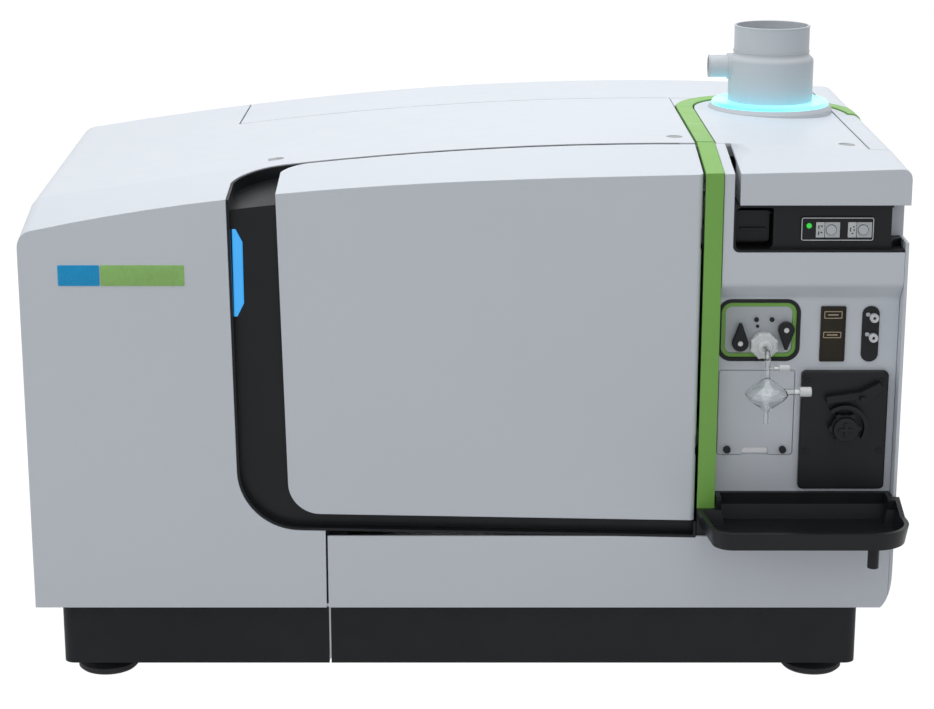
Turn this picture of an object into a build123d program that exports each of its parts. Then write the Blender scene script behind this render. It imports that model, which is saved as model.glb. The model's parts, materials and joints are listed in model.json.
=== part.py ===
from build123d import *
import math
import os

# Bench-top mass spectrometer with a plasma source.
# Millimetres. +X is the operator's right, +Y runs from the front face to the back, +Z is up.
# The origin is on the floor, midway across the greatest width and depth.

# ---------------------------------------------------------------- overall body
left_back_x = -557
right_back_x = 557
left_front_x = -527
right_front_x = 549
front_y = -300
back_y = 400
top_slope_depth = 118
foot_height = 27
plinth_height = 90
crease_heights = (598, 641, 661, 669, 676)
top_heights = (616, 655, 680, 688, 678)
left_shoulder_radius = 20
right_shoulder_radius = 14
back_edge_radius = 34
back_round_steps = 5
tightest_round = 2
skirt_rise = 48
skirt_tuck = 13
cover_wall = 4
seat_gap = 0.3
seam_gap = 2.5

body_bottom_z = foot_height + plinth_height
seam_y = front_y + top_slope_depth
sky_z = max(top_heights) + 60

# ---------------------------------------------------------------- plinth and feet
plinth_left_x = -502
plinth_right_x = 515
plinth_front_y = -264
plinth_back_y = 372
plinth_wall = 4
plinth_corner_radius = 14
lower_seam_x = -158
foot_radius = 39
foot_rim = 9
foot_neck_radius = 17
foot_stud_radius = 6
foot_inset_x = 48
foot_inset_y = 60

# ---------------------------------------------------------------- door and the bay it closes
bay_left_x = -268
bay_top_left_x = -275
bay_bottom_z = 221
bay_right_bottom_z = 210
bay_corner_radius = 78
bay_plan_radius = 65
door_left_x = -205
door_top_left_x = -216
door_right_x = 299
door_bottom_z = 242
door_right_bottom_z = 233
door_corner_radius = 40
door_plan_radius = 38
door_rim_depth = 12
door_top_gap = 6
band_depth = 15
bezel_wall = 3
bezel_ledge = 18
hinge_axis_inset_x = 7
hinge_axis_inset_y = 8
hinge_pin_radius = 3
hinge_arm_height = 24
hinge_arm_levels = (330, 590)
hinge_edge_block = 15
running_clearance = 0.05

hinge_x = door_right_x - hinge_axis_inset_x
hinge_y = front_y + hinge_axis_inset_y

# ---------------------------------------------------------------- green trim
trim_left_x = 302
trim_width = 21.5
trim_proud = 1.5
trim_bottom_z = 247.5
arch_x = 430
arch_y = 99
arch_inner_radius = 106
arch_side_drop = 26

trim_right_x = trim_left_x + trim_width
arch_outer_radius = arch_x - trim_left_x

# ---------------------------------------------------------------- right-hand front
recess_depth = 20
fascia_wall = 5
fascia_bottom_z = 214
brow_bottom_z = 533
brow_top_z = 574
slot_top_z = 632
slot_corner_radius = 8
slot_left_x = 337
slot_depth = 60
side_notch_width = 16
side_notch_depth = 44
side_notch_rise = 12
hood_left_x = 344
hood_side_seam_x = 517
pocket_right_x = 386
pocket_depth = 46
control_recess = 11
control_right_x = 528

face_y = front_y + recess_depth
fascia_left_x = trim_right_x + 1
fascia_right_x = right_front_x - cover_wall - seat_gap

# ---------------------------------------------------------------- exhaust chimney
chimney_x = 431
chimney_y = 116
collar_radius = 50.8
collar_length = 36
chimney_step = 6.7
chimney_wall = 2.5
chimney_shoulder = 12
lower_tube_height = 59
flange_rim = 26.5
flange_depth = 30
flange_top_z = 692
light_ring_inset = 5
light_ring_height = 5
spigot_radius = 15
spigot_rise = 51
spigot_reach = 28
spigot_root = 2
spigot_root_rim = 2.5

chimney_radius = collar_radius + chimney_step
flange_radius = chimney_radius + flange_rim
light_ring_radius = flange_radius - light_ring_inset
chimney_top_z = flange_top_z + lower_tube_height + chimney_shoulder + collar_length
spigot_z = flange_top_z + spigot_rise

# ---------------------------------------------------------------- sample introduction
torch_x = 380
torch_z = 455
window_left_x = 325
window_right_x = 423
window_bottom_z = 435
window_top_z = 510
window_radius = 16
window_gap = 3
ring_width = 5
ring_set_back = 1.5
stud_rise = 31
stud_spread = 9.5
stud_radius = 2.6
latch_radius = 10
latch_length = 27
latch_thickness = 6.5
latch_lift = 1.3
left_latch_x = 351
left_latch_z = 457
right_latch_x = 407
right_latch_z = 474
fitting_radius = 16
fitting_reach = 12
cup_radius = 9
cup_reach = 22
spray_radius = 26
spray_z = 404
spray_reach = 46
spray_top_reach = 20
spray_bottom_reach = 23
feed_radius = 3.5
feed_bend = 10
drain_radius = 3.3
drain_length = 14
side_arm_radius = 4.2
side_arm_reach = 40
side_arm_rise = 3
nebuliser_radius = 6
nebuliser_length = 14
side_port_radius = 2.6
side_port_reach = 14
side_port_z = 437
port_cap_radius = 4
port_cap_length = 13
glass_wall = 1.2
panel_left_x = 327
panel_right_x = 420
panel_bottom_z = 313
panel_top_z = 421
thumbscrew_radius = 4.5
thumbscrew_inset_x = 12
thumbscrew_inset_z = 7
sight_left_x = 449
sight_right_x = 480
ports_left_x = 500
ports_right_x = 521
instrument_bottom_z = 433
instrument_top_z = 503
port_levels = (489, 464)
port_x = 514

# ---------------------------------------------------------------- pump
pump_left_x = 428
pump_right_x = 535
pump_bottom_z = 270
pump_top_z = 422
pump_plate_thickness = 8
pump_x = 482
pump_z = 352
rotor_radius = 18
screw_radius = 3.5

# ---------------------------------------------------------------- drip tray
tray_left_x = 301
tray_right_x = 555
tray_front_y = -400
tray_back_left_x = 325
tray_back_right_x = 543
tray_rim_z = 265
tray_front_rim_z = 250
tray_bottom_z = 228
tray_wall = 4
tray_lip = 6
tray_rise_depth = 35
tray_taper = 4
tray_left_corner_radius = 28
tray_right_corner_radius = 46
spout_x = 511
spout_y = -370
spout_radius = 7
spout_bottom_z = 197

# ---------------------------------------------------------------- inside
hoop_width = 14
hoop_depth = 12
hoop_middle_y = 190
chamber_left_x = -420
chamber_right_x = 322
chamber_front_y = -20
chamber_back_y = 120
chamber_bottom_z = 400
chamber_top_z = 520
chamber_wall = 10
compartment_left_x = 327
compartment_right_x = 518
compartment_back_y = 180
compartment_top_z = 655
compartment_wall = 3
shelf_z = 292
rod_radius = 9
turbo_radius = 70
fan_radius = 58
fan_x = -330
fan_z = 330


def along(y):
    """How far back y lies, from 0 at the front face to 1 at the back."""
    return (y - front_y) / (back_y - front_y)


def left_x(y):
    return left_front_x + (left_back_x - left_front_x) * along(y)


def right_x(y):
    return right_front_x + (right_back_x - right_front_x) * along(y)


def body_form(inset):
    """The instrument's outer form, drawn in by inset on every side."""
    back_round = back_edge_radius - inset
    stations = [(front_y + inset, crease_heights, 0), (seam_y, top_heights, 0)]
    for step in range(back_round_steps + 1):
        turn = math.radians(90 * step / back_round_steps)
        y = back_y - inset - back_round * (1 - math.sin(turn))
        stations.append((y, top_heights, back_round * (1 - math.cos(turn))))
    left_round = max(left_shoulder_radius - inset, tightest_round)
    right_round = max(right_shoulder_radius - inset, tightest_round)
    with BuildPart() as form:
        for y, heights, drop in stations:
            west = left_x(y) + inset
            east = right_x(y) - inset
            floor = body_bottom_z + inset
            pitch = (east - west) / (len(heights) - 1)
            crown = [(west + pitch * i, z - inset - drop) for i, z in enumerate(heights)]
            left_lift = (heights[1] - heights[0]) * left_round / pitch
            right_lift = (heights[-2] - heights[-1]) * right_round / pitch
            left_start = (west + left_round, crown[0][1] + left_lift)
            right_start = (east - right_round, crown[-1][1] + right_lift)
            with BuildSketch(Plane.XZ.offset(-y)):
                with BuildLine():
                    Spline(left_start, *crown[1:-1], right_start)
                    Bezier(right_start, crown[-1], (east, crown[-1][1] - right_round))
                    Line((east, crown[-1][1] - right_round), (east, body_bottom_z + skirt_rise))
                    Bezier((east, body_bottom_z + skirt_rise), (east, floor + skirt_tuck), (east - skirt_tuck, floor))
                    Line((east - skirt_tuck, floor), (west, floor))
                    Line((west, floor), (west, crown[0][1] - left_round))
                    Bezier((west, crown[0][1] - left_round), crown[0], left_start)
                make_face()
        loft(ruled=True)
    return form.part


def block(x0, x1, y0, y1, z0, z1):
    """A plain region between two corners, for trimming one piece against another."""
    with BuildPart() as region:
        with Locations(((x0 + x1) / 2, (y0 + y1) / 2, (z0 + z1) / 2)):
            Box(x1 - x0, y1 - y0, z1 - z0)
    return region.part


def front_outline(corners, radius, shrink, y0, y1):
    """A region seen from the front, its corners given from the top left, with one round lower left corner."""
    with BuildPart() as region:
        with BuildSketch(Plane.XZ.offset(-y1)) as outline:
            with BuildLine():
                Polyline(*corners, close=True)
            make_face()
            fillet(outline.vertices().sort_by(Axis.Y)[:2].sort_by(Axis.X)[0], radius)
            if shrink:
                offset(amount=-shrink, kind=Kind.INTERSECTION, mode=Mode.REPLACE)
        extrude(amount=y1 - y0)
    return region.part


def plan_outline(x0, x1, y0, y1, radius):
    """A region seen from above whose left rear corner is round."""
    with BuildPart() as region:
        with BuildSketch(Plane.XY):
            with BuildLine():
                Line((x0, y0), (x0, y1 - radius))
                RadiusArc((x0, y1 - radius), (x0 + radius, y1), radius)
                Polyline((x0 + radius, y1), (x1, y1), (x1, y0), (x0, y0))
            make_face()
        extrude(amount=sky_z)
    return region.part


def rod(x, z, y0, y1, radius):
    """A round bar along Y."""
    with BuildPart() as bar:
        with BuildSketch(Plane.XZ.offset(-y1)):
            with Locations((x, z)):
                Circle(radius)
        extrude(amount=y1 - y0)
    return bar.part


def post(x, y, z0, z1, radius):
    """A round bar along Z."""
    with BuildPart() as bar:
        with BuildSketch(Plane.XY.offset(z0)):
            with Locations((x, y)):
                Circle(radius)
        extrude(amount=z1 - z0)
    return bar.part


def front_plate(x0, x1, z0, z1, y0, y1, radius):
    """A plate facing the front with round corners."""
    with BuildPart() as plate:
        with BuildSketch(Plane.XZ.offset(-y1)):
            with Locations(((x0 + x1) / 2, (z0 + z1) / 2)):
                RectangleRounded(x1 - x0, z1 - z0, radius)
        extrude(amount=y1 - y0)
    return plate.part


# ---------------------------------------------------------------- shared skins and regions
# Every cover is a piece of one wall, and the recessed band follows it further in.
outer_form = body_form(0)
inner_form = body_form(cover_wall)
seat_form = body_form(cover_wall + seat_gap)
far = 2 * (right_back_x - left_back_x)


def pan_outline(margin, z0, z1):
    """The floor's outline, drawn in by margin from the covers' outer faces."""
    corners = (
        (left_front_x + margin, front_y + margin),
        (right_front_x - skirt_tuck - margin, front_y + margin),
        (right_back_x - skirt_tuck - margin, back_y - margin),
        (left_back_x + margin, back_y - margin),
    )
    with BuildPart() as region:
        with BuildSketch(Plane.XY.offset(z0)):
            with BuildLine():
                Polyline(*corners, close=True)
            make_face()
        extrude(amount=z1 - z0)
    return region.part


with BuildPart() as wall_skin:
    add(outer_form)
    add(inner_form, mode=Mode.SUBTRACT)
    add(pan_outline(cover_wall, body_bottom_z - 1, body_bottom_z + cover_wall + 1), mode=Mode.SUBTRACT)

bay_right_x = trim_left_x - 0.5
front_reach = front_y - 20
bay_corners = (
    (bay_top_left_x, sky_z),
    (bay_right_x, sky_z),
    (bay_right_x, bay_right_bottom_z),
    (bay_left_x, bay_bottom_z),
)
door_corners = (
    (door_top_left_x, sky_z),
    (door_right_x, sky_z),
    (door_right_x, door_right_bottom_z),
    (door_left_x, door_bottom_z),
)


def bay_region(shrink):
    """The opening in the covers for the door and its dark surround."""
    with BuildPart() as region:
        add(front_outline(bay_corners, bay_corner_radius, shrink, front_reach, seam_y))
        add(plan_outline(bay_top_left_x + shrink, bay_right_x, front_reach, seam_y - shrink,
                         bay_plan_radius - shrink), mode=Mode.INTERSECT)
    return region.part


def door_region(shrink):
    """The door's own outline, drawn in by shrink."""
    with BuildPart() as region:
        add(front_outline(door_corners, door_corner_radius, shrink, front_reach, seam_y))
        add(plan_outline(door_top_left_x + shrink, door_right_x - shrink, front_reach,
                         seam_y - door_top_gap - shrink, door_plan_radius - shrink), mode=Mode.INTERSECT)
    return region.part


bay_cut = bay_region(0)

# ---------------------------------------------------------------- plinth, base and feet
foot_places = [
    (x, y)
    for x in (plinth_left_x + foot_inset_x, plinth_right_x - foot_inset_x)
    for y in (plinth_front_y + foot_inset_y, plinth_back_y - foot_inset_y)
]
foot_hole_radius = foot_neck_radius + 3


def plinth_half(x0, x1, round_end, open_end):
    """Half of the black skirt: a tray of sheet with one rounded end, open above and at the middle seam."""
    with BuildPart() as half:
        with BuildSketch(Plane.XY.offset(foot_height)) as outline:
            with Locations(((x0 + x1) / 2, (plinth_front_y + plinth_back_y) / 2)):
                Rectangle(x1 - x0, plinth_back_y - plinth_front_y)
            fillet(outline.vertices().group_by(Axis.X)[round_end], plinth_corner_radius)
        extrude(amount=plinth_height)
        top_face = half.faces().sort_by(Axis.Z)[-1]
        end_face = half.faces().sort_by(Axis.X)[open_end]
        offset(amount=-plinth_wall, openings=[top_face, end_face])
        for x, y in foot_places:
            if x0 < x < x1:
                add(post(x, y, 0, body_bottom_z - 1, foot_hole_radius), mode=Mode.SUBTRACT)
    return half.part


plinth_left = plinth_half(plinth_left_x, lower_seam_x - seam_gap, 0, -1)
plinth_right = plinth_half(lower_seam_x, plinth_right_x, -1, 0)

base_clearance = plinth_wall + seat_gap
base_x0 = plinth_left_x + base_clearance
base_x1 = plinth_right_x - base_clearance
base_y0 = plinth_front_y + base_clearance
base_y1 = plinth_back_y - base_clearance
base_z0 = foot_height + plinth_wall
base_sheet = 6
boss_radius = foot_neck_radius + 5

with BuildPart() as base_frame:
    with BuildSketch(Plane.XY.offset(base_z0)) as outline:
        with Locations(((base_x0 + base_x1) / 2, (base_y0 + base_y1) / 2)):
            Rectangle(base_x1 - base_x0, base_y1 - base_y0)
        fillet(outline.vertices(), plinth_corner_radius - base_clearance)
    extrude(amount=body_bottom_z - base_z0)
    offset(amount=-base_sheet, openings=base_frame.faces().sort_by(Axis.Z)[0])
    for x, y in foot_places:
        add(post(x, y, base_z0, body_bottom_z, boss_radius))
        add(post(x, y, base_z0 - 1, body_bottom_z - base_sheet, foot_stud_radius + running_clearance),
            mode=Mode.SUBTRACT)


def levelling_foot(x, y):
    """A rubber-rimmed disc, its neck and the stud that screws into the base."""
    with BuildPart() as foot:
        with BuildSketch(Plane.XZ) as profile:
            with BuildLine():
                Polyline((0, 0), (foot_radius - 3, 0), (foot_radius, 3), (foot_radius, foot_rim))
                Polyline((foot_radius, foot_rim), (foot_neck_radius + 6, foot_rim + 3),
                         (foot_neck_radius, foot_rim + 8), (foot_neck_radius, base_z0),
                         (foot_stud_radius, base_z0), (foot_stud_radius, body_bottom_z - base_sheet - 4),
                         (0, body_bottom_z - base_sheet - 4), (0, 0))
            make_face()
        revolve(axis=Axis.Z)
    return foot.part.moved(Location((x, y, 0)))


with BuildPart() as levelling_feet:
    for x, y in foot_places:
        add(levelling_foot(x, y))

bottom_pan = pan_outline(cover_wall + seat_gap, body_bottom_z, body_bottom_z + cover_wall)
pan_top_z = body_bottom_z + cover_wall

# ---------------------------------------------------------------- hoops that carry the covers
hoop_inner_form = body_form(cover_wall + seat_gap + hoop_depth)
hoop_front_y = seam_y + 1
hoop_starts = (hoop_front_y, hoop_middle_y - hoop_width / 2, back_y - back_edge_radius - hoop_width - 4)


def cover_hoop(y):
    """One hoop of flat bar, running round just inside the covers."""
    with BuildPart() as hoop:
        add(seat_form)
        add(hoop_inner_form, mode=Mode.SUBTRACT)
        add(block(-far, far, y, y + hoop_width, body_bottom_z - 1, sky_z), mode=Mode.INTERSECT)
    return hoop.part


with BuildPart() as cover_hoops:
    for y in hoop_starts:
        add(cover_hoop(y))

# ---------------------------------------------------------------- outer covers
rear_seam_x = -304
rear_seam_y = hoop_middle_y
rear_panel_left_x = left_back_x + 30
rear_panel_right_x = right_back_x - 30
rear_panel_top_z = min(top_heights) - 60
half_seam = seam_gap / 2

rear_panel_zone = block(rear_panel_left_x, rear_panel_right_x, back_y - 2 * cover_wall, far,
                        0, rear_panel_top_z)
fastener_radius = 10
fastener_depth = 1.5
fastener_inset = 46
fastener_places = (
    (door_top_left_x - fastener_radius, seam_y + fastener_inset),
    (trim_left_x - 24, seam_y + fastener_inset),
    (hood_side_seam_x - 24, seam_y + fastener_inset - 20),
)


def surface_z(x, y):
    """The height of the outer form above a point."""
    plumb_line = Edge.make_line((x, y, body_bottom_z + 50), (x, y, sky_z))
    return (plumb_line & outer_form).bounding_box().max.Z


with BuildPart() as seat_cut:
    for x, y in fastener_places:
        add(post(x, y, surface_z(x, y) - fastener_depth, sky_z, fastener_radius + seat_gap))

with BuildPart() as left_cover:
    add(wall_skin.part)
    add(bay_cut, mode=Mode.SUBTRACT)
    add(block(trim_left_x - seam_gap, far, -far, rear_seam_y, 0, sky_z), mode=Mode.SUBTRACT)
    add(block(rear_seam_x - half_seam, far, rear_seam_y - half_seam, far, 0, sky_z), mode=Mode.SUBTRACT)
    add(block(lower_seam_x - seam_gap, far, -far, seam_y, 0, bay_bottom_z + 30), mode=Mode.SUBTRACT)
    add(rear_panel_zone, mode=Mode.SUBTRACT)
    add(seat_cut.part, mode=Mode.SUBTRACT)

with BuildPart() as rear_top_panel:
    add(wall_skin.part)
    add(block(rear_seam_x + half_seam, hood_side_seam_x - half_seam, rear_seam_y + half_seam, far,
              rear_panel_top_z, sky_z), mode=Mode.INTERSECT)
    add(post(arch_x, arch_y, 0, sky_z, arch_outer_radius + seam_gap), mode=Mode.SUBTRACT)

with BuildPart() as front_flank:
    add(wall_skin.part)
    add(block(right_front_x - cover_wall, far, -far, face_y + fascia_wall + 1.5, 0, sky_z), mode=Mode.INTERSECT)

with BuildPart() as arch_cut:
    add(post(arch_x, arch_y, min(top_heights) + 20, sky_z, arch_outer_radius + seam_gap))
    add(block(-far, far, arch_y - seam_gap, far, 0, sky_z), mode=Mode.INTERSECT)

side_notch_x = fascia_right_x - side_notch_width
side_notch_y = front_y + side_notch_depth
side_notch_z = brow_top_z + side_notch_rise
with BuildPart() as right_cover:
    add(wall_skin.part)
    add(block(hood_side_seam_x + half_seam, far, face_y + fascia_wall + 1, far, 0, sky_z), mode=Mode.INTERSECT)
    add(front_flank.part)
    add(block(0, far, -far, seam_y + half_seam, slot_top_z - seam_gap, sky_z), mode=Mode.SUBTRACT)
    add(block(0, far, -far, side_notch_y, side_notch_z, sky_z), mode=Mode.SUBTRACT)
    add(block(side_notch_x + seat_gap, right_front_x - 1, side_notch_y, side_notch_y + cover_wall,
              side_notch_z, slot_top_z - seam_gap))
    add(rear_panel_zone, mode=Mode.SUBTRACT)
    add(arch_cut.part, mode=Mode.SUBTRACT)

with BuildPart() as lower_front_panel:
    add(wall_skin.part)
    add(block(lower_seam_x, fascia_right_x, -far, face_y + fascia_wall, 0, fascia_bottom_z - 2), mode=Mode.INTERSECT)
    add(bay_cut, mode=Mode.SUBTRACT)

louvre_rows = 14
louvre_pitch = 14
louvre_height = 5
louvre_width = 150
louvre_places = ((0, rear_panel_top_z - 136), (2 * louvre_width, rear_panel_top_z - 136))
fan_louvre_rows = 8

with BuildPart() as rear_panel:
    add(wall_skin.part)
    add(block(rear_panel_left_x + half_seam, rear_panel_right_x - half_seam, back_y - 2 * cover_wall, far,
              pan_top_z, rear_panel_top_z - half_seam), mode=Mode.INTERSECT)
    with BuildSketch(Plane.XZ.offset(-back_y)):
        with Locations(*louvre_places):
            with GridLocations(1, louvre_pitch, 1, louvre_rows):
                SlotOverall(louvre_width, louvre_height)
        with Locations((fan_x, fan_z)):
            with GridLocations(1, louvre_pitch, 1, fan_louvre_rows):
                SlotOverall(2 * fan_radius - 10, louvre_height + 1)
    extrude(amount=2 * cover_wall, both=True, mode=Mode.SUBTRACT)

# ---------------------------------------------------------------- door and its dark surround
hinge_block_front_y = front_y + hinge_edge_block
notch_gap = 1
hinge_reach = hinge_arm_height / 2 + 12

with BuildPart() as door_border:
    add(outer_form)
    add(body_form(door_rim_depth), mode=Mode.SUBTRACT)
    add(door_region(0), mode=Mode.INTERSECT)
    add(door_region(cover_wall), mode=Mode.SUBTRACT)

with BuildPart() as door_edge:
    add(outer_form)
    add(block(door_right_x - hinge_edge_block, door_right_x, -far, front_y + hinge_edge_block,
              0, min(crease_heights) + 50), mode=Mode.INTERSECT)
    add(door_region(0), mode=Mode.INTERSECT)

with BuildPart() as door:
    add(wall_skin.part)
    add(door_region(0), mode=Mode.INTERSECT)
    add(door_border.part)
    add(door_edge.part)
    hinge_edges = door.edges().filter_by(Axis.Z).group_by(Axis.X)[-1]
    fillet(hinge_edges.sort_by(Axis.Y)[0], hinge_axis_inset_x - 1)
    for z in hinge_arm_levels:
        half_notch = hinge_arm_height / 2 + notch_gap
        add(post(hinge_x, hinge_y, z - hinge_reach - 1, z + hinge_reach + 1, hinge_pin_radius + running_clearance),
            mode=Mode.SUBTRACT)
        add(block(hinge_x - hinge_pin_radius - 3, door_right_x + 1, hinge_y - hinge_pin_radius - 2.6,
                  hinge_block_front_y + 1, z - half_notch, z + half_notch), mode=Mode.SUBTRACT)

bezel_right_x = hinge_x - 12
with BuildPart() as bezel_opening:
    add(door_region(bezel_ledge))
with BuildPart() as bezel_band:
    add(body_form(band_depth))
    add(body_form(band_depth + bezel_wall), mode=Mode.SUBTRACT)
    add(bay_region(seat_gap), mode=Mode.INTERSECT)
    add(bezel_opening.part, mode=Mode.SUBTRACT)
with BuildPart() as bezel_rim:
    add(body_form(1))
    add(body_form(band_depth + bezel_wall), mode=Mode.SUBTRACT)
    add(bay_region(seat_gap), mode=Mode.INTERSECT)
    add(bay_region(seat_gap + bezel_wall), mode=Mode.SUBTRACT)

light_left_x = -268
light_right_x = -256
light_bottom_z = 492
light_top_z = 600
light_depth = 5
light_y = front_y + band_depth
light_corner = 8

with BuildPart() as door_bezel:
    add(bezel_band.part)
    add(bezel_rim.part)
    add(block(bezel_right_x, far, -far, far, door_right_bottom_z - 2, sky_z), mode=Mode.SUBTRACT)

with BuildPart() as status_light:
    with BuildSketch(Plane.XZ.offset(-light_y)):
        with BuildLine():
            Polyline((light_left_x, light_bottom_z), (light_right_x - light_corner, light_bottom_z),
                     (light_right_x, light_bottom_z + 2 * light_corner),
                     (light_right_x, light_top_z - 2 * light_corner),
                     (light_right_x - light_corner, light_top_z), (light_left_x, light_top_z), close=True)
        make_face()
    extrude(amount=light_depth)
    chamfer(status_light.faces().sort_by(Axis.Y)[0].edges(), 1.2)

door_post_back_y = front_y + 50
door_post_right_x = trim_right_x - 1.5
door_post_top_z = min(crease_heights) + 42
with BuildPart() as door_post:
    add(block(trim_left_x + seat_gap, door_post_right_x, front_y + cover_wall + seat_gap, door_post_back_y,
              pan_top_z, door_post_top_z))
    add(block(trim_left_x + 3, door_post_right_x - 3, front_y + cover_wall + 3, far,
              pan_top_z + 3, door_post_top_z - 3), mode=Mode.SUBTRACT)

with BuildPart() as hinge_arms:
    for z in hinge_arm_levels:
        low = z - hinge_arm_height / 2
        high = z + hinge_arm_height / 2
        add(post(hinge_x, hinge_y, low, high, hinge_pin_radius + 2))
        add(block(hinge_x - 4, hinge_x + 4, hinge_y, door_post_back_y - 6, low, high))
        add(block(hinge_x - 4, trim_left_x + seat_gap, door_post_back_y - 14, door_post_back_y - 6, low, high))
    for z in hinge_arm_levels:
        add(post(hinge_x, hinge_y, z - hinge_reach, z + hinge_reach, hinge_pin_radius), mode=Mode.SUBTRACT)

with BuildPart() as hinge_pins:
    for z in hinge_arm_levels:
        add(post(hinge_x, hinge_y, z - hinge_reach, z + hinge_reach, hinge_pin_radius))

# ---------------------------------------------------------------- green trim
trim_form = body_form(-trim_proud)
with BuildPart() as trim_skin:
    add(trim_form)
    add(inner_form, mode=Mode.SUBTRACT)

with BuildPart() as green_strip:
    add(trim_skin.part)
    add(block(trim_left_x, trim_right_x, -far, seam_y - half_seam, trim_bottom_z, sky_z), mode=Mode.INTERSECT)

with BuildPart() as arch_plan:
    with BuildSketch(Plane.XY.offset(top_heights[-1] - arch_side_drop)):
        with Locations((arch_x, arch_y)):
            Circle(arch_outer_radius)
            Circle(arch_inner_radius, mode=Mode.SUBTRACT)
        with Locations(((trim_left_x + far) / 2, (arch_y - far) / 2)):
            Rectangle(far - trim_left_x, far + arch_y, mode=Mode.SUBTRACT)
        with Locations(((trim_left_x + trim_right_x) / 2, (seam_y + half_seam + arch_y) / 2)):
            Rectangle(trim_width, arch_y - seam_y - half_seam)
    extrude(amount=sky_z)

with BuildPart() as green_arch:
    add(trim_skin.part)
    add(arch_plan.part, mode=Mode.INTERSECT)

# ---------------------------------------------------------------- hood and chimney
duct_radius = chimney_radius - 5
hood_hole_radius = duct_radius + seat_gap
hood_gap = seam_gap

with BuildPart() as hood_plan:
    add(block(hood_left_x, far, -far, seam_y, slot_top_z, sky_z))
    add(block(trim_right_x + hood_gap, hood_side_seam_x - half_seam, seam_y - 0.01, arch_y, slot_top_z, sky_z))
    add(post(arch_x, arch_y, slot_top_z, sky_z, arch_inner_radius - hood_gap))
    add(block(hood_side_seam_x - half_seam, far, seam_y, far, 0, sky_z), mode=Mode.SUBTRACT)

with BuildPart() as hood_cheek:
    add(outer_form)
    add(block(hood_left_x, hood_left_x + cover_wall, -far, front_y + slot_depth - 2, slot_top_z, sky_z),
        mode=Mode.INTERSECT)

with BuildPart() as hood:
    add(wall_skin.part)
    add(hood_plan.part, mode=Mode.INTERSECT)
    add(hood_cheek.part)
    add(post(chimney_x, chimney_y, 0, sky_z, hood_hole_radius), mode=Mode.SUBTRACT)
    add(seat_cut.part, mode=Mode.SUBTRACT)

with BuildPart() as flange:
    with BuildSketch(Plane.XZ) as profile:
        with BuildLine():
            Polyline((duct_radius, flange_top_z - flange_depth), (flange_radius, flange_top_z - flange_depth),
                     (flange_radius, flange_top_z - 5), (flange_radius - 3, flange_top_z),
                     (duct_radius, flange_top_z), close=True)
        make_face()
    revolve(axis=Axis.Z)
seated_flange = flange.part.moved(Location((chimney_x, chimney_y, 0)))

duct_bottom_z = compartment_top_z + seat_gap
lower_tube_top_z = flange_top_z + lower_tube_height
with BuildPart() as tube:
    with BuildSketch(Plane.XZ):
        with BuildLine():
            Polyline((duct_radius - chimney_wall, duct_bottom_z), (duct_radius, duct_bottom_z),
                     (duct_radius, flange_top_z - 1), (chimney_radius, flange_top_z - 1),
                     (chimney_radius, lower_tube_top_z))
            Spline((chimney_radius, lower_tube_top_z), (collar_radius, chimney_top_z - collar_length),
                   tangents=((0, 1), (0, 1)))
            Polyline((collar_radius, chimney_top_z - collar_length), (collar_radius, chimney_top_z),
                     (collar_radius - chimney_wall, chimney_top_z),
                     (collar_radius - chimney_wall, duct_bottom_z + 1),
                     (duct_radius - chimney_wall, duct_bottom_z))
        make_face()
    revolve(axis=Axis.Z)
placed_tube = tube.part.moved(Location((chimney_x, chimney_y, 0)))

spigot_end_x = chimney_x - chimney_radius - spigot_reach
spigot_root_x = chimney_x - chimney_radius - spigot_root
with BuildPart() as chimney:
    add(seated_flange)
    add(outer_form, mode=Mode.SUBTRACT)
    add(placed_tube)
    with BuildSketch(Plane.YZ.offset(spigot_end_x)):
        with Locations((chimney_y, spigot_z)):
            Circle(spigot_radius)
    extrude(amount=chimney_x - collar_radius - spigot_end_x)
    with BuildSketch(Plane.YZ.offset(spigot_root_x)):
        with Locations((chimney_y, spigot_z)):
            Circle(spigot_radius + spigot_root_rim)
    extrude(amount=chimney_x - collar_radius - spigot_root_x)
    add(post(chimney_x, chimney_y, duct_bottom_z + 2, chimney_top_z - 1, collar_radius - chimney_wall), mode=Mode.SUBTRACT)
    with BuildSketch(Plane.YZ.offset(spigot_end_x - 1)):
        with Locations((chimney_y, spigot_z)):
            Circle(spigot_radius - chimney_wall)
    extrude(amount=chimney_x - collar_radius - spigot_end_x + 6, mode=Mode.SUBTRACT)

with BuildPart() as light_ring:
    with BuildSketch(Plane.XY.offset(flange_top_z)):
        with Locations((chimney_x, chimney_y)):
            Circle(light_ring_radius)
            Circle(chimney_radius + seat_gap, mode=Mode.SUBTRACT)
    extrude(amount=light_ring_height)
    fillet(light_ring.faces().sort_by(Axis.Z)[-1].edges().sort_by(SortBy.LENGTH)[-1], 2)

with BuildPart() as cover_fasteners:
    for x, y in fastener_places:
        z = surface_z(x, y)
        add(post(x, y, z - fastener_depth, z - 0.3, fastener_radius))

# ---------------------------------------------------------------- right-hand fascia
brow_step = 20
with BuildPart() as fascia_sheet:
    with BuildSketch(Plane.YZ.offset(fascia_left_x)) as profile:
        with BuildLine():
            Polyline((front_y, brow_top_z), (front_y, brow_bottom_z), (face_y, brow_bottom_z - brow_step),
                     (face_y, fascia_bottom_z), (face_y + fascia_wall, fascia_bottom_z),
                     (face_y + fascia_wall, brow_bottom_z - brow_step + 2),
                     (front_y + fascia_wall, brow_bottom_z + 2), (front_y + fascia_wall, brow_top_z), close=True)
        make_face()
        bends = profile.vertices().filter_by_position(Axis.Y, brow_bottom_z - brow_step - 1, brow_bottom_z + 3)
        fillet(bends, 9)
    extrude(amount=fascia_right_x - fascia_left_x)

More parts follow.
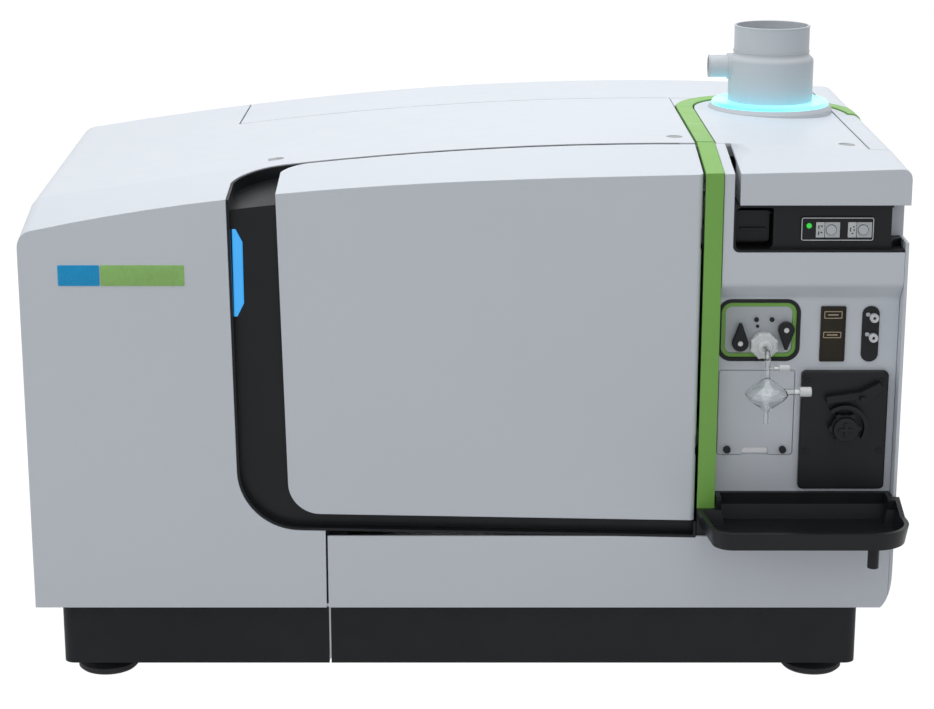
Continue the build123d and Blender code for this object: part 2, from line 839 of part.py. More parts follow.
with BuildPart() as fascia_column:
    add(wall_skin.part)
    add(block(fascia_left_x, slot_left_x - seat_gap, -far, seam_y - half_seam, brow_bottom_z + 8, sky_z),
        mode=Mode.INTERSECT)

panel_seam = 0.8
thumb_places = (
    (panel_left_x + thumbscrew_inset_x, panel_bottom_z + thumbscrew_inset_z),
    (panel_right_x - thumbscrew_inset_x, panel_bottom_z + thumbscrew_inset_z),
)
finger_notch_left_x = 358
finger_notch_right_x = 391
finger_notch_height = 9

slot_corner_x = slot_left_x - seat_gap + slot_corner_radius
slot_corner_z = brow_top_z + slot_corner_radius

with BuildPart() as right_fascia:
    add(fascia_sheet.part)
    add(fascia_column.part)
    add(front_plate(window_left_x, window_right_x, window_bottom_z, window_top_z, front_y, face_y + 20, window_radius),
        mode=Mode.SUBTRACT)
    add(front_plate(panel_left_x - panel_seam, panel_right_x + panel_seam, panel_bottom_z - panel_seam,
                    panel_top_z + panel_seam, front_y, face_y + 20, 4), mode=Mode.SUBTRACT)
    add(rod(pump_x, pump_z, front_y, face_y + 20, 9), mode=Mode.SUBTRACT)
    add(block(slot_left_x - seat_gap - 1, slot_corner_x, front_y, front_y + fascia_wall, brow_top_z - 1, slot_corner_z))
    add(rod(slot_corner_x, slot_corner_z, -far, front_y + fascia_wall + 1, slot_corner_radius), mode=Mode.SUBTRACT)

with BuildPart() as access_panel:
    add(front_plate(panel_left_x, panel_right_x, panel_bottom_z, panel_top_z, face_y, face_y + fascia_wall, 3))
    add(front_plate(finger_notch_left_x, finger_notch_right_x, panel_bottom_z - 12, panel_bottom_z + finger_notch_height,
                    face_y - 1, face_y + fascia_wall + 1, 4), mode=Mode.SUBTRACT)
    for x, z in thumb_places:
        add(rod(x, z, face_y - 1, face_y + fascia_wall + 1, 2 + running_clearance), mode=Mode.SUBTRACT)


def thumbscrew(x, z):
    """A knurled black head on a plain shank."""
    with BuildPart() as screw:
        with BuildSketch(Plane.XZ.offset(-(face_y - seat_gap))):
            with Locations((x, z)):
                Circle(thumbscrew_radius)
                with PolarLocations(thumbscrew_radius, 8):
                    Circle(0.7, mode=Mode.SUBTRACT)
        extrude(amount=6)
        add(rod(x, z, face_y - seat_gap - 1, face_y + fascia_wall + 3, 2))
    return screw.part


thumbscrew_left = thumbscrew(*thumb_places[0])
thumbscrew_right = thumbscrew(*thumb_places[1])

# ---------------------------------------------------------------- slot under the hood
slot_gap = seat_gap
slot_right_x = fascia_right_x
control_y = front_y + control_recess
slot_lip = 3
flap_top_z = slot_top_z - 11
flap_bottom_z = brow_top_z + 9
flap_hinge_z = flap_top_z - 3
flap_y = front_y + 26
flap_left_x = slot_left_x + 6
flap_right_x = pocket_right_x - 3
flap_thickness = 5
flap_pin_radius = 2

indicator_x0 = pocket_right_x + 33
indicator_x1 = control_right_x - 21
indicator_z0 = brow_top_z + 13
indicator_z1 = slot_top_z - 16
indicator_thickness = 3
button_radius = 6
button_travel = 2
button_proud = 2
button_gap = 0.2
button_z = (indicator_z0 + indicator_z1) / 2 - 1
button_right_x = indicator_x1 - 13
button_left_x = button_right_x - 38.5
key_plate_left = 19
key_plate_right = 11
key_plate_half = 10
key_plate_sink = 0.6
indicator_front_y = control_y - indicator_thickness
button_front_y = indicator_front_y - button_proud
button_back_y = control_y - 1
button_well_y = button_back_y + button_travel + 1

with BuildPart() as slot_bezel:
    add(block(slot_left_x, slot_right_x, front_y + 2, front_y + slot_depth, brow_top_z + slot_gap, slot_top_z - slot_gap))
    left_edges = slot_bezel.edges().filter_by(Axis.Y).group_by(Axis.X)[0]
    fillet(left_edges.sort_by(Axis.Z)[0], slot_corner_radius - slot_gap)
    add(front_plate(slot_left_x + slot_lip, pocket_right_x, brow_top_z + slot_lip, slot_top_z - slot_lip,
                    -far, front_y + pocket_depth, 6), mode=Mode.SUBTRACT)
    add(block(pocket_right_x - 8, far, -far, control_y, brow_top_z + slot_lip, slot_top_z - slot_lip), mode=Mode.SUBTRACT)
    add(post(slot_right_x + side_notch_width, front_y + 4, brow_top_z + slot_lip, sky_z, 2 * side_notch_width),
        mode=Mode.SUBTRACT)
    add(block(side_notch_x, far, -far, far, side_notch_z - seat_gap, sky_z), mode=Mode.SUBTRACT)
    for x in (button_left_x, button_right_x):
        add(rod(x, button_z, -far, button_well_y, button_radius + seat_gap), mode=Mode.SUBTRACT)

with BuildPart() as latch_flap:
    add(front_plate(flap_left_x, flap_right_x, flap_bottom_z, flap_top_z, flap_y, flap_y + flap_thickness, 3))
    add(block(flap_left_x + 4, flap_right_x - 4, flap_y - 4, flap_y + 1, flap_bottom_z + 14, flap_bottom_z + 17))
    with BuildSketch(Plane.YZ.offset(slot_left_x + slot_lip + seat_gap)):
        with Locations((flap_y + flap_thickness / 2, flap_hinge_z)):
            Circle(flap_pin_radius)
    extrude(amount=pocket_right_x - slot_left_x - slot_lip - 2 * seat_gap)

with BuildPart() as indicator_panel:
    add(front_plate(indicator_x0, indicator_x1, indicator_z0, indicator_z1, indicator_front_y, control_y, 3))
    for x in (button_left_x, button_right_x):
        add(front_plate(x - key_plate_left, x + key_plate_right, button_z - key_plate_half, button_z + key_plate_half,
                        -far, indicator_front_y + key_plate_sink, 2), mode=Mode.SUBTRACT)
        add(rod(x, button_z, -far, control_y + 1, button_radius + button_gap), mode=Mode.SUBTRACT)


def push_button(x):
    """A round key that travels into its housing."""
    with BuildPart() as button:
        add(rod(x, button_z, button_front_y, button_back_y, button_radius))
        fillet(button.faces().sort_by(Axis.Y)[0].edges(), 0.8)
    return button.part


button_left = push_button(button_left_x)
button_right = push_button(button_right_x)

# ---------------------------------------------------------------- torch mount and its fittings
ring_front_y = face_y + ring_set_back
plate_front_y = ring_front_y + 1
plate_back_y = face_y + fascia_wall + 3
ring_x0 = window_left_x + window_gap
ring_x1 = window_right_x - window_gap
ring_z0 = window_bottom_z + window_gap
ring_z1 = window_top_z - window_gap
latch_hole_radius = 3
ring_flange = window_gap + 2.5

with BuildPart() as torch_window_ring:
    add(front_plate(ring_x0, ring_x1, ring_z0, ring_z1, ring_front_y, plate_back_y, window_radius - window_gap))
    add(front_plate(ring_x0 - ring_flange, ring_x1 + ring_flange, ring_z0 - ring_flange, ring_z1 + ring_flange,
                    face_y + fascia_wall, plate_back_y, window_radius - window_gap + ring_flange))
    add(front_plate(ring_x0 + ring_width, ring_x1 - ring_width, ring_z0 + ring_width, ring_z1 - ring_width,
                    -far, plate_back_y + 10, window_radius - window_gap - ring_width), mode=Mode.SUBTRACT)

plate_gap = 0.2
fitting_seat_radius = 10
with BuildPart() as torch_plate:
    add(front_plate(ring_x0 + ring_width + plate_gap, ring_x1 - ring_width - plate_gap, ring_z0 + ring_width + plate_gap,
                    ring_z1 - ring_width - plate_gap, plate_front_y, plate_back_y,
                    window_radius - window_gap - ring_width - plate_gap))
    for x, z in ((left_latch_x, left_latch_z), (right_latch_x, right_latch_z)):
        add(rod(x, z, -far, plate_back_y + 1, latch_hole_radius + running_clearance), mode=Mode.SUBTRACT)
    add(rod(torch_x, torch_z, -far, plate_back_y + 1, fitting_seat_radius), mode=Mode.SUBTRACT)
    for x in (torch_x - stud_spread, torch_x + stud_spread):
        add(rod(x, torch_z + stud_rise, plate_front_y - 3, plate_front_y, stud_radius))

latch_back_y = face_y - latch_lift
latch_front_y = latch_back_y - latch_thickness


def teardrop_latch(x, z, way):
    """A turn latch shaped like a drop, pivoting in its round end. way is +1 when the tip stands up."""
    tip = z + way * latch_length
    with BuildPart() as latch:
        with BuildSketch(Plane.XZ.offset(-latch_back_y)):
            with Locations((x, z)):
                Circle(latch_radius)
            reach = latch_radius * latch_radius / latch_length
            half = latch_radius * math.sqrt(1 - (latch_radius / latch_length) ** 2)
            with BuildLine():
                Polyline((x - half, z + way * reach), (x - 1.5, tip - way * 2), (x + 1.5, tip - way * 2),
                         (x + half, z + way * reach), (x - half, z + way * reach))
            make_face()
        extrude(amount=latch_thickness)
        chamfer(latch.faces().sort_by(Axis.Y)[0].edges(), 0.8)
        add(rod(x, z, latch_back_y, plate_front_y - 0.2, latch_hole_radius + 2))
        add(rod(x, z, latch_back_y, plate_back_y, latch_hole_radius))
        add(rod(x, z, -far, latch_front_y + 1, 3.4), mode=Mode.SUBTRACT)
    return latch.part


torch_latch_left = teardrop_latch(left_latch_x, left_latch_z, 1)
torch_latch_right = teardrop_latch(right_latch_x, right_latch_z, -1)

spray_y = face_y - spray_reach
fitting_front_y = face_y - fitting_reach
cup_front_y = face_y - cup_reach
with BuildPart() as torch_fitting:
    add(rod(torch_x, torch_z, fitting_front_y, ring_front_y - seat_gap, fitting_radius))
    chamfer(torch_fitting.faces().sort_by(Axis.Y)[0].edges(), 1.5)
    add(rod(torch_x, torch_z, fitting_front_y, plate_front_y, fitting_seat_radius + 1))
    add(rod(torch_x, torch_z, plate_front_y - 1, plate_back_y, fitting_seat_radius))
    add(rod(torch_x, torch_z, cup_front_y, fitting_front_y + 1, cup_radius))
    fillet(torch_fitting.faces().sort_by(Axis.Y)[0].edges(), 2.5)
    add(rod(torch_x, torch_z, cup_front_y - 1, plate_back_y + 1, feed_radius + running_clearance), mode=Mode.SUBTRACT)

# The cyclonic chamber: two cones of blown glass base to base, fed from above and drained below.
bulb_top_z = spray_z + spray_top_reach
bulb_bottom_z = spray_z - spray_bottom_reach
drain_bottom_z = bulb_bottom_z - drain_length
side_arm_z = spray_z + side_arm_rise
side_arm_end_x = torch_x + side_arm_reach
side_port_end_x = torch_x + side_port_reach
feed_end_y = fitting_front_y


def bulb_form(inset, spill):
    """The blown bulb with its feed tube, side arms and drain; spill lengthens the open ends."""
    drain = drain_radius - inset
    feed = feed_radius - inset
    belly = spray_radius - inset
    with BuildPart() as form:
        with BuildSketch(Plane.XZ.offset(-spray_y)):
            with BuildLine():
                Polyline((torch_x, drain_bottom_z - spill), (torch_x + drain, drain_bottom_z - spill),
                         (torch_x + drain, bulb_bottom_z))
                Bezier((torch_x + drain, bulb_bottom_z), (torch_x + drain + 2, bulb_bottom_z + 7 + inset),
                       (torch_x + belly - 2, spray_z - 9), (torch_x + belly, spray_z))
                Bezier((torch_x + belly, spray_z), (torch_x + belly - 2, spray_z + 7),
                       (torch_x + feed + 5, bulb_top_z - 4 - inset), (torch_x + feed, bulb_top_z))
                Polyline((torch_x + feed, bulb_top_z), (torch_x, bulb_top_z), (torch_x, drain_bottom_z - spill))
            make_face()
        revolve(axis=Axis((torch_x, spray_y, 0), (0, 0, 1)))
        with BuildLine() as feed_path:
            FilletPolyline((torch_x, spray_y, bulb_top_z - 1), (torch_x, spray_y, torch_z),
                           (torch_x, feed_end_y + spill, torch_z), radius=feed_bend)
        with BuildSketch(Plane(origin=feed_path.line @ 0, z_dir=feed_path.line % 0)):
            Circle(feed)
        sweep()
        for radius, z, x in ((side_arm_radius, side_arm_z, side_arm_end_x),
                             (side_port_radius, side_port_z, side_port_end_x)):
            with BuildSketch(Plane.YZ.offset(torch_x)):
                with Locations((spray_y, z)):
                    Circle(radius - inset)
            extrude(amount=x - torch_x + spill)
    return form.part


with BuildPart() as spray_chamber:
    add(bulb_form(0, 0))
    add(bulb_form(glass_wall, 1), mode=Mode.SUBTRACT)


def white_stopper(x, z, bore, radius, length):
    """A turned plug: its stem fits the glass arm and its head seats on the arm's end."""
    with BuildPart() as stopper:
        with BuildSketch(Plane.YZ.offset(x - stopper_depth)):
            with Locations((spray_y, z)):
                Circle(bore - running_clearance)
        extrude(amount=stopper_depth)
        with BuildSketch(Plane.YZ.offset(x)):
            with Locations((spray_y, z)):
                Circle(radius)
        extrude(amount=length)
        chamfer(stopper.faces().sort_by(Axis.X)[-1].edges(), 0.8)
    return stopper.part


stopper_depth = 6
with BuildPart() as nebuliser:
    add(white_stopper(side_arm_end_x, side_arm_z, side_arm_radius - glass_wall, nebuliser_radius, nebuliser_length))
    add(white_stopper(side_port_end_x, side_port_z, side_port_radius - glass_wall, port_cap_radius, port_cap_length))

# ---------------------------------------------------------------- small panels to the right
with BuildPart() as window_panel:
    add(front_plate(sight_left_x, sight_right_x, instrument_bottom_z, instrument_top_z, face_y - 2, face_y, 2))
    add(front_plate(sight_left_x + 2, sight_right_x - 2, instrument_bottom_z + 2, instrument_top_z - 2,
                    -far, face_y - 1, 1.5), mode=Mode.SUBTRACT)

with BuildPart() as gas_port_plate:
    add(front_plate(ports_left_x, ports_right_x, instrument_bottom_z, instrument_top_z, face_y - 1.5, face_y,
                    (ports_right_x - ports_left_x) / 2 - 0.5))

with BuildPart() as gas_ports:
    for z in port_levels:
        with BuildSketch(Plane.XZ.offset(-(face_y - 1.5))):
            with Locations((port_x, z)):
                Circle(5.5)
                Circle(2, mode=Mode.SUBTRACT)
        extrude(amount=6)
        with BuildSketch(Plane.XZ.offset(-(face_y - 1.5))):
            with Locations((port_x, z)):
                RegularPolygon(5.6, 6)
                Circle(2, mode=Mode.SUBTRACT)
        extrude(amount=2.5)

# ---------------------------------------------------------------- peristaltic pump
pump_y = face_y - pump_plate_thickness
pump_shaft_radius = 5
track_radius = rotor_radius + 11
clamp_offset_x = 20
clamp_offset_z = track_radius + 9
with BuildPart() as pump_plate:
    add(front_plate(pump_left_x, pump_right_x, pump_bottom_z, pump_top_z, pump_y, face_y, 6))
    chamfer(pump_plate.faces().sort_by(Axis.Y)[0].edges(), 1.5)
    with BuildSketch(Plane.XZ.offset(-pump_y)):
        with Locations((pump_x, pump_z)):
            Circle(track_radius)
            Circle(track_radius - 5, mode=Mode.SUBTRACT)
        with Locations((pump_x - 10, pump_z - 20)):
            Rectangle(80, 50, rotation=-42, mode=Mode.SUBTRACT)
    extrude(amount=9)
    add(rod(pump_x, pump_z, -far, far, pump_shaft_radius + running_clearance), mode=Mode.SUBTRACT)
    clamp_x = pump_x + clamp_offset_x
    clamp_z = pump_z + clamp_offset_z
    add(rod(clamp_x, clamp_z, pump_y - 16, pump_y, 3.5))

with BuildPart() as pump_rotor:
    with BuildSketch(Plane.XZ.offset(-(pump_y - seat_gap))):
        with Locations((pump_x, pump_z)):
            Circle(rotor_radius - 1)
            with PolarLocations(rotor_radius - 1.5, 6):
                Circle(3.5)
    extrude(amount=11)
    with BuildSketch(Plane.XZ.offset(-(pump_y - seat_gap - 11))):
        with Locations((pump_x, pump_z)):
            Circle(rotor_radius - 2)
    extrude(amount=6, taper=12)
    with BuildSketch(Plane.XZ.offset(-(pump_y - seat_gap - 17))):
        with Locations((pump_x, pump_z)):
            Rectangle(18, 4)
            Rectangle(4, 18)
    extrude(amount=2.5)
    add(rod(pump_x, pump_z, pump_y - 1, face_y + fascia_wall + 6, pump_shaft_radius))

arm_angle = 42
with BuildPart() as pump_clamp:
    with BuildSketch(Plane.XZ.offset(-(pump_y - seat_gap))):
        with Locations((clamp_x, clamp_z)):
            Circle(8)
        with BuildLine():
            Polyline((clamp_x + 6, clamp_z - 6), (clamp_x + 26, clamp_z + 13), (clamp_x + 20, clamp_z + 20),
                     (clamp_x - 6, clamp_z + 6), close=True)
        make_face()
        with BuildLine():
            Polyline((clamp_x - 8, clamp_z - 2), (clamp_x - 44, clamp_z - 6), (clamp_x - 44, clamp_z + 2),
                     (clamp_x - 2, clamp_z + 8), close=True)
        make_face()
    extrude(amount=10)
    add(rod(clamp_x, clamp_z, -far, far, 3.5 + running_clearance), mode=Mode.SUBTRACT)

with BuildPart() as panel_screws:
    for x in (pump_left_x + 8, pump_right_x - 8):
        for z in (pump_top_z - 12, pump_bottom_z + 50):
            add(rod(x, z, pump_y - 1.5, pump_y, screw_radius))
            add(rod(x, z, pump_y - 2, pump_y - 0.6, 1.6), mode=Mode.SUBTRACT)

# ---------------------------------------------------------------- drip tray
tray_gap = trim_proud + 2
tray_corners = (
    (tray_back_left_x, face_y),
    (tray_back_right_x, face_y),
    (tray_back_right_x, front_y - tray_gap),
    (tray_right_x - 3, front_y - tray_gap),
    (tray_right_x, (front_y + tray_front_y) / 2),
    (tray_right_x - 2, tray_front_y),
    (tray_left_x + 12, tray_front_y),
    (tray_left_x, front_y - tray_gap),
    (tray_back_left_x, front_y - tray_gap),
)


def tray_outline(inset):
    """The tray seen from above, drawn in by inset."""
    with BuildSketch() as outline:
        with BuildLine():
            Polyline(*tray_corners, close=True)
        make_face()
        front_corners = outline.vertices().group_by(Axis.Y)[0].sort_by(Axis.X)
        fillet(front_corners[0], tray_left_corner_radius)
        far_corner = outline.vertices().sort_by_distance((tray_right_x - 2, tray_front_y))[0]
        fillet(far_corner, tray_right_corner_radius)
        if inset:
            offset(amount=-inset, kind=Kind.INTERSECTION, mode=Mode.REPLACE)
    return outline.sketch


def tray_body(inset, z0, z1):
    """The tray's form between two heights, drawn in by inset: tapering below the front lip, upright above."""
    with BuildPart() as form:
        with BuildSketch(Plane.XY.offset(z0)):
            add(tray_outline(inset + tray_taper))
        with BuildSketch(Plane.XY.offset(tray_front_rim_z)):
            add(tray_outline(inset))
        loft(ruled=True)
        extrude(form.faces().sort_by(Axis.Z)[-1], amount=z1 - tray_front_rim_z)
    return form.part


with BuildPart() as drip_tray:
    add(tray_body(0, tray_bottom_z, tray_rim_z))
    add(tray_body(tray_lip, tray_bottom_z + tray_wall, tray_rim_z + 1), mode=Mode.SUBTRACT)
    with BuildSketch(Plane.YZ.offset(tray_left_x - 50)):
        with BuildLine():
            Polyline((tray_front_y - 20, tray_front_rim_z), (front_y - tray_rise_depth, tray_front_rim_z),
                     (front_y - tray_gap, tray_rim_z + 0.5), (front_y - tray_gap, sky_z),
                     (tray_front_y - 20, sky_z), close=True)
        make_face()
    extrude(amount=400, mode=Mode.SUBTRACT)
    add(block(-far, tray_back_left_x, -far, face_y, tray_front_rim_z, sky_z), mode=Mode.SUBTRACT)
    add(post(spout_x, spout_y, spout_bottom_z, tray_bottom_z + tray_wall, spout_radius))
    add(post(spout_x, spout_y, spout_bottom_z - 1, tray_bottom_z + tray_wall + 30, spout_radius - 2), mode=Mode.SUBTRACT)

# ---------------------------------------------------------------- plasma compartment
slot_back_y = front_y + slot_depth + 2
compartment_front_y = face_y + fascia_wall
compartment_bottom_z = pan_top_z + hoop_depth + seat_gap + seat_gap
compartment_shoulder_z = brow_top_z - 4


def compartment_form(inset):
    """The sheet box behind the fascia, stepped at its top front for the slot."""
    x0 = compartment_left_x + inset
    x1 = compartment_right_x - inset
    z0 = compartment_bottom_z + inset
    with BuildPart() as form:
        add(block(x0, x1, compartment_front_y + inset, compartment_back_y - inset, z0, compartment_shoulder_z - inset))
        add(block(x0, x1, slot_back_y + inset, compartment_back_y - inset, z0, compartment_top_z - inset))
    return form.part


window_lap = 3
with BuildPart() as torch_compartment:
    add(compartment_form(0))
    add(compartment_form(compartment_wall), mode=Mode.SUBTRACT)
    add(block(compartment_left_x + 1, compartment_right_x - 1, compartment_front_y + 1, compartment_back_y - 1,
              shelf_z - compartment_wall, shelf_z))
    add(front_plate(window_left_x - window_lap, window_right_x + window_lap, window_bottom_z - window_lap,
                    window_top_z + window_lap, face_y, compartment_front_y + 10, window_radius), mode=Mode.SUBTRACT)
    add(rod(pump_x, pump_z, -far, compartment_front_y + 10, 12), mode=Mode.SUBTRACT)
    for x, z in thumb_places:
        add(rod(x, z, -far, compartment_front_y + 10, 4), mode=Mode.SUBTRACT)
    add(post(chimney_x, chimney_y, compartment_top_z - 10, sky_z, duct_radius - chimney_wall), mode=Mode.SUBTRACT)

interface_front_y = chamber_front_y + 20
interface_size = 100
interface_x0 = compartment_left_x + compartment_wall
with BuildPart() as interface_block:
    add(block(interface_x0, interface_x0 + interface_size, interface_front_y, interface_front_y + interface_size,
              torch_z - interface_size / 2, torch_z + interface_size / 2))
    fillet(interface_block.edges().filter_by(Axis.Z).group_by(Axis.X)[-1], 12)
    add(rod(torch_x, torch_z, interface_front_y - 1, interface_front_y + 30, 24), mode=Mode.SUBTRACT)

cone_length = 16
with BuildPart() as sampler_cone:
    with BuildSketch(Plane.XY) as profile:
        with BuildLine():
            Polyline((24, 0), (38, 0), (38, -3), (22, -3), (2.5, -cone_length), (1, -cone_length), (20, -1.5), (24, 0))
        make_face()
    revolve(axis=Axis.Y)
sampler_cone_piece = sampler_cone.part.moved(Location((torch_x, interface_front_y, torch_z)))

torch_front_y = plate_back_y
torch_back_y = interface_front_y - cone_length - 14
with BuildPart() as torch_tube:
    add(rod(torch_x, torch_z, torch_front_y, torch_back_y, 10))
    add(rod(torch_x, torch_z, torch_front_y, torch_front_y + 40, 13))
    add(rod(torch_x, torch_z, torch_front_y - 1, torch_back_y + 1, 8.8), mode=Mode.SUBTRACT)

coil_radius = 15.5
coil_wire = 2
coil_pitch = 8
coil_turns = 3
coil_start_y = torch_back_y - coil_pitch * coil_turns - 4
with BuildPart() as coil_turns_only:
    with BuildLine() as coil_path:
        Helix(coil_pitch, coil_pitch * coil_turns, coil_radius)
    with BuildSketch(Plane(origin=coil_path.line @ 0, z_dir=coil_path.line % 0)):
        Circle(coil_wire)
    sweep()
turned_coil = coil_turns_only.part.rotate(Axis.Z, 180).rotate(Axis.X, -90)
coil_lead_x0 = compartment_left_x + compartment_wall
coil_lead_x1 = torch_x - coil_radius + coil_wire / 2

with BuildPart() as load_coil:
    add(turned_coil.moved(Location((torch_x, coil_start_y, torch_z))))
    for y in (coil_start_y, coil_start_y + coil_pitch * coil_turns):
        with BuildSketch(Plane.YZ.offset(coil_lead_x0)):
            with Locations((y, torch_z)):
                Circle(coil_wire + 0.3)
        extrude(amount=coil_lead_x1 - coil_lead_x0)

# ---------------------------------------------------------------- analyser chamber behind the door
stand_places = (chamber_left_x + 20, -90, chamber_right_x - 40)
turbo_places = (-250, 100)
turbo_top_z = chamber_bottom_z
turbo_bottom_z = chamber_bottom_z - 150
rod_left_x = chamber_left_x + 40
rod_right_x = chamber_right_x - 60
rod_y = (chamber_front_y + chamber_back_y) / 2
rod_z = torch_z + 5
rod_spread = rod_radius * 1.15
saddle_width = 14

with BuildPart() as vacuum_chamber:
    add(block(chamber_left_x, chamber_right_x, chamber_front_y, chamber_back_y, chamber_bottom_z, chamber_top_z))
    fillet(vacuum_chamber.edges().filter_by(Axis.Z), 10)
    add(block(chamber_left_x + chamber_wall, chamber_right_x - chamber_wall, chamber_front_y + chamber_wall,
              chamber_back_y - chamber_wall, chamber_bottom_z + chamber_wall, chamber_top_z + 1), mode=Mode.SUBTRACT)
    for x in stand_places:
        add(block(x - 10, x + 10, chamber_front_y + 5, chamber_back_y - 5, pan_top_z, chamber_bottom_z + 1))
        add(block(x - 11, x + 11, chamber_front_y + 30, chamber_back_y - 30, pan_top_z + 20, chamber_bottom_z - 30),
            mode=Mode.SUBTRACT)
    for x in (rod_left_x + 60, (rod_left_x + rod_right_x) / 2, rod_right_x - 60):
        add(block(x - saddle_width / 2, x + saddle_width / 2, rod_y - 40, rod_y + 40, chamber_bottom_z + 5, rod_z + 20))
        for side_y in (-1, 1):
            for side_z in (-1, 1):
                with BuildSketch(Plane.YZ.offset(x - saddle_width)):
                    with Locations((rod_y + side_y * rod_spread, rod_z + side_z * rod_spread)):
                        Circle(rod_radius)
                extrude(amount=2 * saddle_width, mode=Mode.SUBTRACT)
        with BuildSketch(Plane.YZ.offset(x - saddle_width)):
            with Locations((rod_y, rod_z)):
                Rectangle(rod_spread, rod_spread)
        extrude(amount=2 * saddle_width, mode=Mode.SUBTRACT)

with BuildPart() as quadrupole_rods:
    with BuildSketch(Plane.YZ.offset(rod_left_x)):
        with Locations((rod_y, rod_z)):
            with GridLocations(2 * rod_spread, 2 * rod_spread, 2, 2):
                Circle(rod_radius)
    extrude(amount=rod_right_x - rod_left_x)

lid_thickness = 8
with BuildPart() as chamber_lid:
    add(block(chamber_left_x, chamber_right_x, chamber_front_y, chamber_back_y, chamber_top_z, chamber_top_z + lid_thickness))
    fillet(chamber_lid.edges().filter_by(Axis.Z), 10)
    with BuildSketch(Plane.XY.offset(chamber_top_z + lid_thickness)):
        with Locations(((chamber_left_x + chamber_right_x) / 2, (chamber_front_y + chamber_back_y) / 2)):
            with GridLocations((chamber_right_x - chamber_left_x - 24) / 7, chamber_back_y - chamber_front_y - 16, 8, 2):
                Circle(5)
    extrude(amount=6)

with BuildPart() as turbo_pumps:
    for x in turbo_places:
        add(post(x, rod_y, turbo_bottom_z + 40, turbo_top_z, turbo_radius - 10))
        add(post(x, rod_y, turbo_top_z - 14, turbo_top_z, turbo_radius))
        add(post(x, rod_y, turbo_bottom_z, turbo_bottom_z + 60, turbo_radius - 18))

# ---------------------------------------------------------------- supplies below
rf_x0 = 150
rf_x1 = 300
supply_front_y = hoop_front_y + hoop_width + 8
power_x0 = -480
power_x1 = -140
power_top_z = 300
vent_width = 7
vent_depth = 6


def supply_case(x0, x1, back_y_case, top_z):
    """A folded sheet case with round upright corners."""
    with BuildPart() as case:
        add(block(x0, x1, supply_front_y, back_y_case, pan_top_z, top_z))
        fillet(case.edges().filter_by(Axis.Z), 5)
    return case.part


with BuildPart() as rf_generator:
    add(supply_case(rf_x0, rf_x1, chamber_front_y - 8, torch_z - 70))
    with BuildSketch(Plane.XZ.offset(-supply_front_y)):
        with Locations(((rf_x0 + rf_x1) / 2, 250)):
            with GridLocations(1, 16, 1, 12):
                SlotOverall(110, vent_width)
    extrude(amount=-vent_depth, mode=Mode.SUBTRACT)

with BuildPart() as power_supply:
    add(supply_case(power_x0, power_x1, chamber_front_y - 20, power_top_z))
    with BuildSketch(Plane.XZ.offset(-supply_front_y)):
        with Locations(((power_x0 + power_x1) / 2, 210)):
            with GridLocations(16, 1, 17, 1):
                SlotOverall(120, vent_width, rotation=90)
    extrude(amount=-vent_depth, mode=Mode.SUBTRACT)

# ---------------------------------------------------------------- rear fan and fittings
fan_frame_size = 2 * fan_radius + 8
fan_depth = 25
fan_back_y = back_y - cover_wall
fan_front_y = fan_back_y - fan_depth
with BuildPart() as fan_frame:
    add(front_plate(fan_x - fan_frame_size / 2, fan_x + fan_frame_size / 2, fan_z - fan_frame_size / 2,
                    fan_z + fan_frame_size / 2, fan_front_y, fan_back_y, 5))
    add(rod(fan_x, fan_z, -far, far, fan_radius), mode=Mode.SUBTRACT)
    add(rod(fan_x, fan_z, fan_front_y, fan_front_y + 4, 20))
    for turn in (45, 135):
        with BuildSketch(Plane.XZ.offset(-(fan_front_y + 4))):
            with Locations((fan_x, fan_z)):
                Rectangle(2 * fan_radius + 2, 6, rotation=turn)
        extrude(amount=4)
    add(rod(fan_x, fan_z, fan_front_y, fan_back_y - 6, 3))

with BuildPart() as fan_rotor:
    add(rod(fan_x, fan_z, fan_front_y + 5, fan_back_y - 4, 19))
    for index in range(7):
        angle = 360 * index / 7
        blade_plane = Plane(origin=(fan_x, (fan_front_y + fan_back_y) / 2, fan_z), x_dir=(0, 1, 0),
                            z_dir=(math.cos(math.radians(angle)), 0, math.sin(math.radians(angle))))
        with BuildSketch(blade_plane.offset(17)):
            Rectangle(15, 2.2, rotation=32)
        extrude(amount=fan_radius - 19)
    add(rod(fan_x, fan_z, -far, fan_back_y - 5, 3 + running_clearance), mode=Mode.SUBTRACT)


